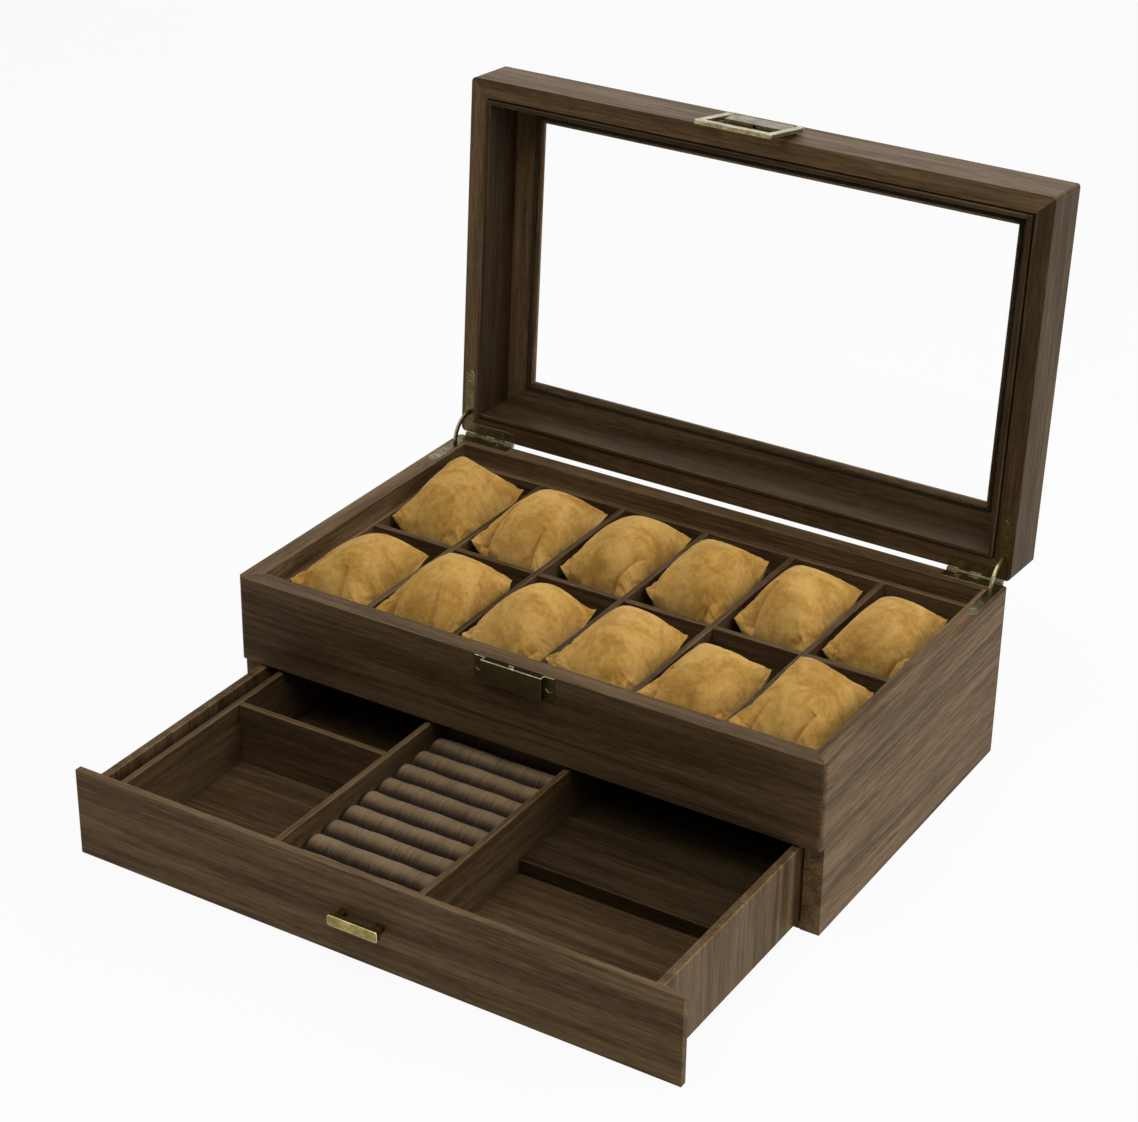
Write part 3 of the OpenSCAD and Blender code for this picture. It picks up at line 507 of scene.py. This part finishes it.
def dress_metal():
    """Antique brass with a painted highlight on its rounded edges, and the brighter pull, whose rounded edges
    also carry a painted highlight.
    """
    dark = brass("dark_brass", DARK_BRASS_TONES, 0.006, 0.34)
    old = brass("old_brass", OLD_BRASS_TONES, 0.006, 0.30)
    painted_light = brass("highlight_brass", HIGHLIGHT_BRASS_TONES, 0.004, 0.24)
    pull = brass("pull_brass", PULL_TONES, 0.005, 0.24)
    pull_edge = brass("pull_edge_brass", PULL_EDGE_TONES, 0.004, 0.20)
    for node, width in DARK_BRASS_NODES:
        dress(node, dark, painted_light)
        soften(node, width)
    for node in DARK_SCREW_NODES:
        dress(node, dark)
        soften(node, SCREW_EDGE)
    for node, width in OLD_BRASS_NODES:
        dress(node, old, painted_light)
        soften(node, width)
    for node in STAY_NODES:
        dress(node, old, painted_light)
        soften(node, STAY_EDGE, merged=False)
    dress("drawer_pull", pull, pull_edge)
    soften("drawer_pull", PULL_EDGE, 3)
    dress("pull_screws", pull, pull_edge)
    soften("pull_screws", PULL_SCREW_EDGE)


def mesh_object(name, points, faces, material):
    """A smooth-shaded mesh object from points in metres."""
    mesh = bpy.data.meshes.new(name)
    mesh.from_pydata([tuple(point) for point in points], [], faces)
    mesh.materials.append(material)
    for polygon in mesh.polygons:
        polygon.use_smooth = True
    obj = bpy.data.objects.new(name, mesh)
    bpy.context.scene.collection.objects.link(obj)
    return obj


# Pillows: corners measured from the cell's front left corner, in millimetres, as front left, front right,
# back left and back right, each (x, y, height over the seam's mean height), then how high the crown stands
# over that height on its left, in its middle and on its right, and how thin an ear it draws out at the back
# right.
PILLOW_FORMS = (
    ((1.2, 9.0, 0.8), (42.0, 8.0, -8.0), (2.6, 68.5, -5.5), (41.6, 63.5, 0.5), (10.0, 12.4, 13.0), 0.3),
    ((1.4, 10.5, -1.5), (42.2, 8.0, -8.0), (3.2, 66.4, 1.0), (41.4, 64.0, 0.5), (14.2, 13.0, 13.0), 0.1),
    ((1.2, 11.0, -1.0), (42.0, 9.0, -8.0), (3.0, 69.0, -4.0), (41.8, 62.0, 0.4), (11.4, 12.2, 9.6), 1.4),
    ((1.4, 6.6, 3.4), (41.8, 7.0, -7.5), (2.8, 68.5, -0.5), (41.8, 64.0, 0.0), (13.2, 12.4, 12.2), 0.7),
    ((1.2, 7.0, 1.0), (42.2, 8.0, -8.0), (2.4, 61.0, -1.5), (41.4, 56.5, 0.5), (10.8, 9.4, 9.0), 0.3),
    ((1.6, 3.2, 4.0), (42.0, 6.0, -7.0), (3.4, 66.0, 4.4), (41.6, 61.5, 1.2), (16.6, 13.0, 11.8), 0.4),
    ((1.2, 10.5, -1.5), (42.0, 9.0, -8.0), (3.2, 66.4, 6.2), (41.6, 66.0, 0.2), (19.6, 14.0, 12.0), 0.7),
    ((1.4, 8.6, -0.8), (42.2, 8.0, -8.0), (3.0, 65.2, 0.2), (41.8, 68.5, -1.2), (13.4, 12.6, 12.0), 0.3),
    ((1.2, 14.0, -4.0), (42.0, 10.0, -9.0), (2.6, 70.0, -5.0), (41.8, 68.5, -1.4), (9.6, 11.6, 13.0), 0.3),
    ((1.4, 13.4, -2.0), (41.8, 9.0, -8.0), (3.0, 64.0, 1.0), (41.4, 60.5, 3.0), (13.4, 12.4, 12.0), 0.3),
    ((1.2, 14.0, -3.6), (42.0, 9.0, -8.0), (2.8, 66.5, -1.6), (41.6, 64.0, -0.4), (12.4, 10.8, 11.4), 0.3),
    ((1.4, 10.2, -3.6), (42.0, 9.0, -8.0), (2.6, 66.5, -4.0), (41.2, 56.5, 1.8), (10.2, 10.6, 10.6), 0.2),
)
# Where the cell's corner lies from the solid pillow's, the room between its walls, how far from a wall the
# cloth starts to give way, and how high the seam lies over the ground, in millimetres.
CELL_FRONT_BEFORE_PILLOW = 7.5
CELL_LEFT_BEFORE_PILLOW = 0.5
CELL_CLEAR = (0.45, 43.05)
CELL_SOFT = 2.6
SEAM_HEIGHT = 78.3

# How far the seam dips between its corners and how far the pillow pulls in there, in millimetres.
SEAM_DIP_FRONT = 5.5
SEAM_DIP_BACK = 2.0
SEAM_DIP_LEFT = 3.0
SEAM_DIP_RIGHT = 5.0
SIDES_PULL_IN = 1.2
ENDS_PULL_IN = 2.4
# How sharply the pillow thins towards its sides and its ends: powers, 0 for a box, 1 for a lens. The last is
# how much more it thins at the front, and how much less at the back.
THIN_AT_SIDES = 0.48
THIN_AT_ENDS = 0.46
THIN_AT_FRONT = 0.13
# Crown towards the front at most, and height of the uneven swelling, in millimetres.
CROWN_IN_FRONT = 12.6
SWELLING = 0.5
# Where across the pillow the crown's left and right heights are measured, and past where it stays level.
CROWN_MEASURED = 0.65
CROWN_LEVEL = 0.8
# How soon and how sharply the crown turns from its even front to its three heights along the back.
CROWN_TURN = 1.35
CROWN_TURN_POWER = 1.5

# Pleats at the front of each pillow: distance from its left side, depth, reach up the pillow, lean to the
# right as it rises, all in millimetres.
PILLOW_PLEATS = (
    ((8.0, 1.8, 13.0, 1.0), (27.0, 2.4, 8.5, -1.0)),
    ((9.0, 3.2, 16.0, 1.0), (31.0, 0.8, 13.0, -3.0)),
    ((3.5, 2.6, 9.0, 0.0), (33.0, 1.4, 9.0, 4.0)),
    ((4.0, 3.0, 11.0, -1.0), (34.0, 1.4, 10.0, 3.0)),
    ((7.5, 2.8, 14.0, 1.0), (34.0, 1.6, 7.0, 3.0)),
    ((10.0, 1.4, 10.0, 2.0), (29.0, 2.6, 11.0, 3.0)),
    ((13.0, 1.4, 12.0, 2.0), (33.0, 0.8, 8.0, 2.0)),
    ((9.0, 3.0, 16.0, 2.0), (33.0, 2.6, 11.0, 0.0)),
    ((5.0, 1.6, 10.0, 1.0), (30.0, 3.0, 15.0, 5.0)),
    ((4.0, 3.0, 11.0, 0.0), (33.0, 1.4, 6.0, 2.0)),
    ((10.0, 3.2, 16.0, 2.0), (34.0, 1.0, 6.0, 3.0)),
    ((7.0, 0.8, 9.0, 1.0), (33.0, 2.6, 10.0, 4.0)),
)
# What all depths and reaches are multiplied by, and how a pleat fades along its reach: a power.
PLEAT_DEPTH = 1.9
PLEAT_REACH = 1.5
PLEAT_FADE = 0.5
# A pleat is a narrow groove in a soft hollow: how far each goes to the left and right of the fold, in
# millimetres, and its share of the depth. Then how far the cloth goes down and inwards, as shares of the
# depth.
GROOVE_LEFT = 1.1
GROOVE_RIGHT = 0.55
GROOVE_SHARE = 0.72
HOLLOW_LEFT = 4.0
HOLLOW_RIGHT = 1.6
HOLLOW_SHARE = 0.28
PLEAT_DOWN = 0.75
PLEAT_INWARDS = 1.0
# The length of a pillow, along which a pleat's reach is measured, in millimetres.
PILLOW_LENGTH = 60.0

# Columns and rows of a pillow's net, and how much closer they stand at the seam, from 0 to 1.
PILLOW_ACROSS = 48
PILLOW_DEEP = 60
NET_CLOSER = 0.35

# The cloth is simulated ten times as large as it is, at which the solver is steady.
SIMULATED_SIZE = 0.01
SIMULATED_FRAMES = 22
CLOTH_QUALITY = 5
CLOTH_MASS = 0.3
CLOTH_AIR = 2.0
CLOTH_STIFFNESS = 20.0
CLOTH_SHEAR = 8.0
CLOTH_BEND = 0.1
CLOTH_PRESSURE = 2.5
# Spare cloth, as a share, in general and at both ends, where on the way from the middle to an end it begins,
# how firmly the seam is held, and how far a point may move, in millimetres.
CLOTH_SPARE = 0.03
CLOTH_SPARE_AT_ENDS = 0.18
CLOTH_SPARE_FROM = 0.35
SEAM_HOLD = 0.6
CLOTH_REACH = 3.0


def net_place(step, steps):
    """The place of a column or row of the net, from -1 to 1."""
    even = 2.0 * step / steps - 1.0
    return -NET_CLOSER * math.cos(math.pi * step / steps) + (1.0 - NET_CLOSER) * even


def pillow_grid(columns, rows):
    """Across and deep positions of a closed two-sided net, from -1 to 1, its side, 1 above and -1 below, its
    faces, and the point numbers of its upper and lower sheet. The two sheets share their outer points, which
    are the seam, of side 0."""
    points = []
    sheets = []
    for side in (1, -1):
        sheet = np.zeros((rows + 1, columns + 1), dtype=int)
        for j in range(rows + 1):
            for i in range(columns + 1):
                on_seam = i in (0, columns) or j in (0, rows)
                if side == -1 and on_seam:
                    sheet[j, i] = sheets[0][j, i]
                    continue
                sheet[j, i] = len(points)
                points.append((net_place(i, columns), net_place(j, rows), 0 if on_seam else side))
        sheets.append(sheet)
    faces = []
    for sheet, order in zip(sheets, (1, -1)):
        for j in range(rows):
            for i in range(columns):
                corner = [sheet[j, i], sheet[j, i + 1], sheet[j + 1, i + 1], sheet[j + 1, i]]
                faces.append([int(number) for number in corner[::order]])
    return np.array(points), faces, sheets


def doubled(rows):
    """The rows with one more between each two, on a smooth curve through them."""
    longer = np.concatenate([2.0 * rows[:1] - rows[1:2], rows, 2.0 * rows[-1:] - rows[-2:-1]])
    between = (9.0 * (longer[1:-2] + longer[2:-1]) - longer[:-3] - longer[3:]) / 16.0
    result = np.empty((2 * len(rows) - 1,) + rows.shape[1:])
    result[0::2] = rows
    result[1::2] = between
    return result


def refined(points, sheets, fine_sheets):
    """The points of a net with twice as many columns and rows, on a smooth surface through these points."""
    result = np.empty((1 + max(sheet.max() for sheet in fine_sheets), 3))
    for sheet, fine_sheet in zip(sheets, fine_sheets):
        result[fine_sheet] = doubled(doubled(points[sheet]).swapaxes(0, 1)).swapaxes(0, 1)
    return result


def sewn_form(grid, form, belly, number):
    """The pillow as it is sewn, before it is filled out, in millimetres from the cell's front left corner
    and the seam's mean height. belly is how far it reaches down."""
    across, deep, side = grid[:, 0], grid[:, 1], grid[:, 2]
    corners = np.array(form[:4])
    high_left, high_middle, high_right = form[4]
    left, right = (1.0 - across) / 2.0, (1.0 + across) / 2.0
    front, back = (1.0 - deep) / 2.0, (1.0 + deep) / 2.0
    base = np.stack([left * front, right * front, left * back, right * back], axis=1) @ corners
    # The sides pull in and the seam dips between the corners.
    inner_across = 1.0 - across**2
    inner_deep = 1.0 - deep**2
    dip = (SEAM_DIP_FRONT * front + SEAM_DIP_BACK * back) * inner_across
    dip = dip + (SEAM_DIP_LEFT * left + SEAM_DIP_RIGHT * right) * inner_deep
    base[:, 0] -= across * SIDES_PULL_IN * inner_deep
    base[:, 1] -= deep * ENDS_PULL_IN * inner_across
    base[:, 2] -= np.where(side == 0, dip, dip * np.maximum(np.abs(across), np.abs(deep)))
    thin_across = THIN_AT_SIDES + form[5] * right**3 * back
    thin_deep = THIN_AT_ENDS - THIN_AT_FRONT * deep
    puff = inner_across.clip(0.0) ** thin_across * inner_deep.clip(0.0) ** thin_deep
    # Slow uneven swelling, different in each pillow.
    phase = 1.7 * number
    swell = np.sin(2.1 * across + phase) * np.sin(1.6 * deep + 0.7 * phase)
    swell += 0.5 * np.sin(4.3 * across - 2.9 * deep + 1.3 * phase)
    # The crown follows its three heights along the back and is even towards the front.
    slant = np.clip(across, -CROWN_LEVEL, CROWN_LEVEL) / CROWN_MEASURED
    along_back = high_middle + 0.5 * (high_right - high_left) * slant
    along_back += (0.5 * (high_right + high_left) - high_middle) * slant**2
    even = min(high_middle, CROWN_IN_FRONT)
    crown = even + (along_back - even) * np.clip(CROWN_TURN * back, 0.0, 1.0) ** CROWN_TURN_POWER
    upper = (crown + SWELLING * swell) * puff
    lower = -(belly + base[:, 2]) * puff
    z = base[:, 2] + np.where(side > 0, upper - base[:, 2] * puff, np.where(side < 0, lower, 0.0))
    return np.stack([base[:, 0], base[:, 1], z], axis=1)


def pleated(points, grid, pleats):
    """The points with pleats pressed in at the front: each has a soft slope on the left of its fold and a
    steep one on its right."""
    x, y, z = points.T
    deep, side = grid[:, 1], grid[:, 2]
    up = (1.0 + deep) * 0.5 * PILLOW_LENGTH
    for start, depth, reach, lean in pleats:
        off = x - (start + lean * up / reach)
        groove = np.where(off < 0.0, np.exp(off / GROOVE_LEFT), np.exp(-((off / GROOVE_RIGHT) ** 2)))
        hollow = np.exp(-((off / np.where(off < 0.0, HOLLOW_LEFT, HOLLOW_RIGHT)) ** 2))
        fold = GROOVE_SHARE * groove + HOLLOW_SHARE * hollow
        fading = np.clip(1.0 - up / (PLEAT_REACH * reach), 0.0, 1.0) ** PLEAT_FADE
        drop = PLEAT_DEPTH * depth * fold * fading
        z = z - PLEAT_DOWN * drop * (side > 0)
        y = y + PLEAT_INWARDS * drop * (side >= 0)
    return np.stack([x, y, z], axis=1)


def within_cell(x):
    """x pressed softly against the cell's two walls."""
    low, high = CELL_CLEAR
    past = np.tanh(np.maximum(0.0, x - (high - CELL_SOFT)) / CELL_SOFT) * CELL_SOFT
    short = np.tanh(np.maximum(0.0, low + CELL_SOFT - x) / CELL_SOFT) * CELL_SOFT
    return x.clip(low + CELL_SOFT, high - CELL_SOFT) + past - short


def fill_out(points, faces, grid):
    """The pillow's points after its cloth is blown up by simulation. The corners are held, the seam less so,
    and there is spare cloth near both ends, which puckers."""
    mesh = bpy.data.meshes.new("cloth_trial")
    mesh.from_pydata([tuple(point) for point in points * SIMULATED_SIZE], [], faces)
    trial = bpy.data.objects.new("cloth_trial", mesh)
    scene = bpy.context.scene
    scene.collection.objects.link(trial)
    held = trial.vertex_groups.new(name="held")
    spare = trial.vertex_groups.new(name="spare")
    for index, (across, deep, side) in enumerate(grid):
        if side == 0:
            is_corner = abs(across) > 0.999 and abs(deep) > 0.999
            held.add([index], 1.0 if is_corner else SEAM_HOLD, "REPLACE")
        near_end = max(0.0, abs(deep) - CLOTH_SPARE_FROM) / (1.0 - CLOTH_SPARE_FROM)
        spare.add([index], near_end, "REPLACE")
    cloth = trial.modifiers.new("cloth", "CLOTH")
    cloth.point_cache.frame_start = 1
    cloth.point_cache.frame_end = SIMULATED_FRAMES
    cloth.collision_settings.use_collision = False
    cloth.collision_settings.use_self_collision = False
    settings = cloth.settings
    settings.quality = CLOTH_QUALITY
    settings.mass = CLOTH_MASS
    settings.air_damping = CLOTH_AIR
    settings.tension_stiffness = CLOTH_STIFFNESS
    settings.compression_stiffness = CLOTH_STIFFNESS
    settings.shear_stiffness = CLOTH_SHEAR
    settings.bending_stiffness = CLOTH_BEND
    settings.use_pressure = True
    settings.uniform_pressure_force = CLOTH_PRESSURE
    settings.vertex_group_mass = "held"
    settings.vertex_group_shrink = "spare"
    settings.shrink_min = -CLOTH_SPARE
    settings.shrink_max = -CLOTH_SPARE_AT_ENDS
    settings.effector_weights.gravity = 0.0
    first_frame = scene.frame_current
    for step in range(1, SIMULATED_FRAMES + 1):
        scene.frame_set(step)
    result = trial.evaluated_get(bpy.context.evaluated_depsgraph_get())
    filled = np.empty(points.size)
    result.data.vertices.foreach_get("co", filled)
    filled = filled.reshape(-1, 3) / SIMULATED_SIZE
    scene.frame_set(first_frame)
    bpy.data.objects.remove(trial)
    bpy.data.meshes.remove(mesh)
    moved = filled - points
    far = np.linalg.norm(moved, axis=1, keepdims=True)
    return points + moved * np.minimum(1.0, CLOTH_REACH / np.maximum(far, 0.001))


def make_pillows():
    """Twelve sewn suede pillows, each its own form, filled out by cloth simulation."""
    cloth = suede()
    grid, faces, sheets = pillow_grid(PILLOW_ACROSS, PILLOW_DEEP)
    fine_grid, fine_faces, fine_sheets = pillow_grid(2 * PILLOW_ACROSS, 2 * PILLOW_DEEP)
    for index, (form, pleats) in enumerate(zip(PILLOW_FORMS, PILLOW_PLEATS)):
        node = f"pillow_{index + 1}"
        low = np.array(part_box(node)[0]) / MM
        belly = SEAM_HEIGHT - low[2]
        points = sewn_form(grid, form, belly, index)
        points = fill_out(points, faces, grid)
        points = pleated(refined(points, sheets, fine_sheets), fine_grid, pleats)
        points[:, 0] = within_cell(points[:, 0])
        points[:, 2] = points[:, 2].clip(-belly)
        cell_corner = low - np.array([CELL_LEFT_BEFORE_PILLOW, CELL_FRONT_BEFORE_PILLOW, -belly])
        pillow = mesh_object(f"suede_pillow_{index + 1}", (points + cell_corner) * MM, fine_faces, cloth)
        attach(pillow, "case")
        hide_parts(node)


# Ring rolls: their count, their distance and width and how far their rounded ends reach, in metres, and the
# number of steps along a roll and round it.
ROLL_COUNT = 12
ROLL_PITCH = 13.18 * MM
ROLL_WIDTH = 12.58 * MM
ROLL_END = 3.2 * MM
ROLL_ALONG = 72
ROLL_ROUND = 40
# How much of its width and height a roll keeps at its ends, the least it is filled there, and how round it is
# below: a power, 0 for square, 1 for round.
ROLL_END_WIDTH = 0.55
ROLL_END_HEIGHT = 0.80
ROLL_END_LEAST = 0.02
ROLL_ROUND_BELOW = 0.35
# Slow waves along its crown: height and length in metres, and how far each roll's wave is shifted.
ROLL_WAVES = (
    (0.18 * MM, 6.1 * MM, 2.3),
    (0.12 * MM, 2.7 * MM, 1.0),
)


def roll_points(low, high, number):
    """One ring roll's points in metres, as rings of points from its left end to its right end."""
    length = high.x - low.x
    middle = low.y + ROLL_WIDTH / 2.0 + ROLL_PITCH * number
    tall = high.z - low.z
    rings = []
    for i in range(ROLL_ALONG + 1):
        part = i / ROLL_ALONG
        x = low.x + length * (0.5 - 0.5 * math.cos(math.pi * part))
        from_end = min(x - low.x, high.x - x)
        full = math.sqrt(max(0.0, 1.0 - (1.0 - min(1.0, from_end / ROLL_END)) ** 2))
        full = max(full, ROLL_END_LEAST)
        half = ROLL_WIDTH / 2.0 * (ROLL_END_WIDTH + (1.0 - ROLL_END_WIDTH) * full)
        lower = ROLL_END_HEIGHT + (1.0 - ROLL_END_HEIGHT) * full
        wobble = sum(height * math.sin(x / wave + shift * number) for height, wave, shift in ROLL_WAVES)
        ring = []
        for k in range(ROLL_ROUND):
            turn = 2.0 * math.pi * k / ROLL_ROUND
            side = math.cos(turn)
            rise = math.sin(turn)
            if rise >= 0.0:
                y = half * side
                z = high.z - half + half * rise
            else:
                y = half * math.copysign(abs(side) ** ROLL_ROUND_BELOW, side)
                z = high.z - half + (tall - half) * rise
            z = low.z + (z - low.z) * lower + wobble * max(0.0, rise)
            ring.append((x, middle + y, z))
        rings.append(ring)
    return rings


def roll_faces():
    """The faces between a roll's rings, and its two ends."""
    faces = []
    for i in range(ROLL_ALONG):
        here = i * ROLL_ROUND
        beyond = here + ROLL_ROUND
        for k in range(ROLL_ROUND):
            after = (k + 1) % ROLL_ROUND
            faces.append([here + k, beyond + k, beyond + after, here + after])
    last = ROLL_ALONG * ROLL_ROUND
    faces.append(list(range(ROLL_ROUND)))
    faces.append([last + k for k in reversed(range(ROLL_ROUND))])
    return faces


def make_rolls():
    """The row of ring rolls, each a stuffed half-round of ribbed cloth."""
    low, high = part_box("ring_rolls")
    cloth = ribbed_cloth(high.z)
    faces = roll_faces()
    for number in range(ROLL_COUNT):
        points = [point for ring in roll_points(low, high, number) for point in ring]
        roll = mesh_object(f"ring_roll_{number + 1}", points, faces, cloth)
        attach(roll, "drawer")
        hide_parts("ring_rolls")


def background_share(tree):
    """1 for rays from the camera, from a reflection or through glass, which see the white background."""
    path = tree.nodes.new("ShaderNodeLightPath").outputs
    seen = arithmetic(tree, "ADD", path["Is Camera Ray"], path["Is Glossy Ray"])
    return arithmetic(tree, "ADD", seen, path["Is Transmission Ray"], clamp=True)


def make_world():
    """White behind the object, and a softer even light on it."""
    world = bpy.data.worlds.new("studio")
    world.use_nodes = True
    tree = world.node_tree
    tree.nodes.clear()
    even = tree.nodes.new("ShaderNodeBackground")
    even.inputs["Strength"].default_value = AMBIENT
    white = tree.nodes.new("ShaderNodeBackground")
    white.inputs["Strength"].default_value = 1.0
    for background in (even, white):
        background.inputs["Color"].default_value = (1.0, 1.0, 1.0, 1.0)
    mix = tree.nodes.new("ShaderNodeMixShader")
    tree.links.new(background_share(tree), mix.inputs["Fac"])
    tree.links.new(even.outputs["Background"], mix.inputs[1])
    tree.links.new(white.outputs["Background"], mix.inputs[2])
    output = tree.nodes.new("ShaderNodeOutputWorld")
    tree.links.new(mix.outputs["Shader"], output.inputs["Surface"])
    bpy.context.scene.world = world


def make_floor():
    """A pale floor that shows nearly white and keeps the object's soft shadow."""
    corners = ((-1, -1), (1, -1), (1, 1), (-1, 1))
    points = [(x * FLOOR_HALF, y * FLOOR_HALF, -FLOOR_DROP) for x, y in corners]
    material, tree, shader = material_and_shader("pale_floor")
    shader.inputs["Base Color"].default_value = (FLOOR_GREY, FLOOR_GREY, FLOOR_GREY, 1.0)
    shader.inputs["Roughness"].default_value = 0.9
    glow = tree.nodes.new("ShaderNodeEmission")
    glow.inputs["Strength"].default_value = 1.0
    mix = tree.nodes.new("ShaderNodeMixShader")
    share = arithmetic(tree, "MULTIPLY", background_share(tree), FLOOR_WHITE)
    tree.links.new(share, mix.inputs["Fac"])
    tree.links.new(shader.outputs["BSDF"], mix.inputs[1])
    tree.links.new(glow.outputs["Emission"], mix.inputs[2])
    tree.links.new(mix.outputs["Shader"], tree.nodes["Material Output"].inputs["Surface"])
    floor = mesh_object("floor", points, [[0, 1, 2, 3]], material)


def area_light(name, place, aim, size, power):
    """A square soft light that faces aim."""
    data = bpy.data.lights.new(name, "AREA")
    data.shape = "SQUARE"
    data.size = size
    data.energy = power
    light = bpy.data.objects.new(name, data)
    light.location = place
    towards = [b - a for a, b in zip(place, aim)]
    flat = math.hypot(towards[0], towards[1])
    light.rotation_euler = (math.atan2(flat, -towards[2]), 0.0, math.atan2(-towards[0], towards[1]))
    bpy.context.scene.collection.objects.link(light)


def make_lights():
    """A wide light overhead, one on the right a little behind the lid, and a weak one behind."""
    for light in LIGHTS:
        area_light(*light)


def make_camera():
    """The photograph's viewpoint."""
    data = bpy.data.cameras.new("camera")
    data.lens = CAMERA_LENS
    data.sensor_width = CAMERA_SENSOR
    data.clip_start = 0.05
    data.clip_end = 50.0
    camera = bpy.data.objects.new("camera", data)
    camera.location = CAMERA_PLACE
    camera.rotation_euler = [math.radians(angle) for angle in CAMERA_TURN]
    bpy.context.scene.collection.objects.link(camera)
    bpy.context.scene.camera = camera


make_camera()
make_world()
make_floor()
make_lights()
bpy.context.scene.view_settings.view_transform = "Standard"

dress_boards()
dress_metal()
dress("lid_glass", clear_glass())
dress("glass_seal", dark_seal())
make_pillows()
make_rolls()
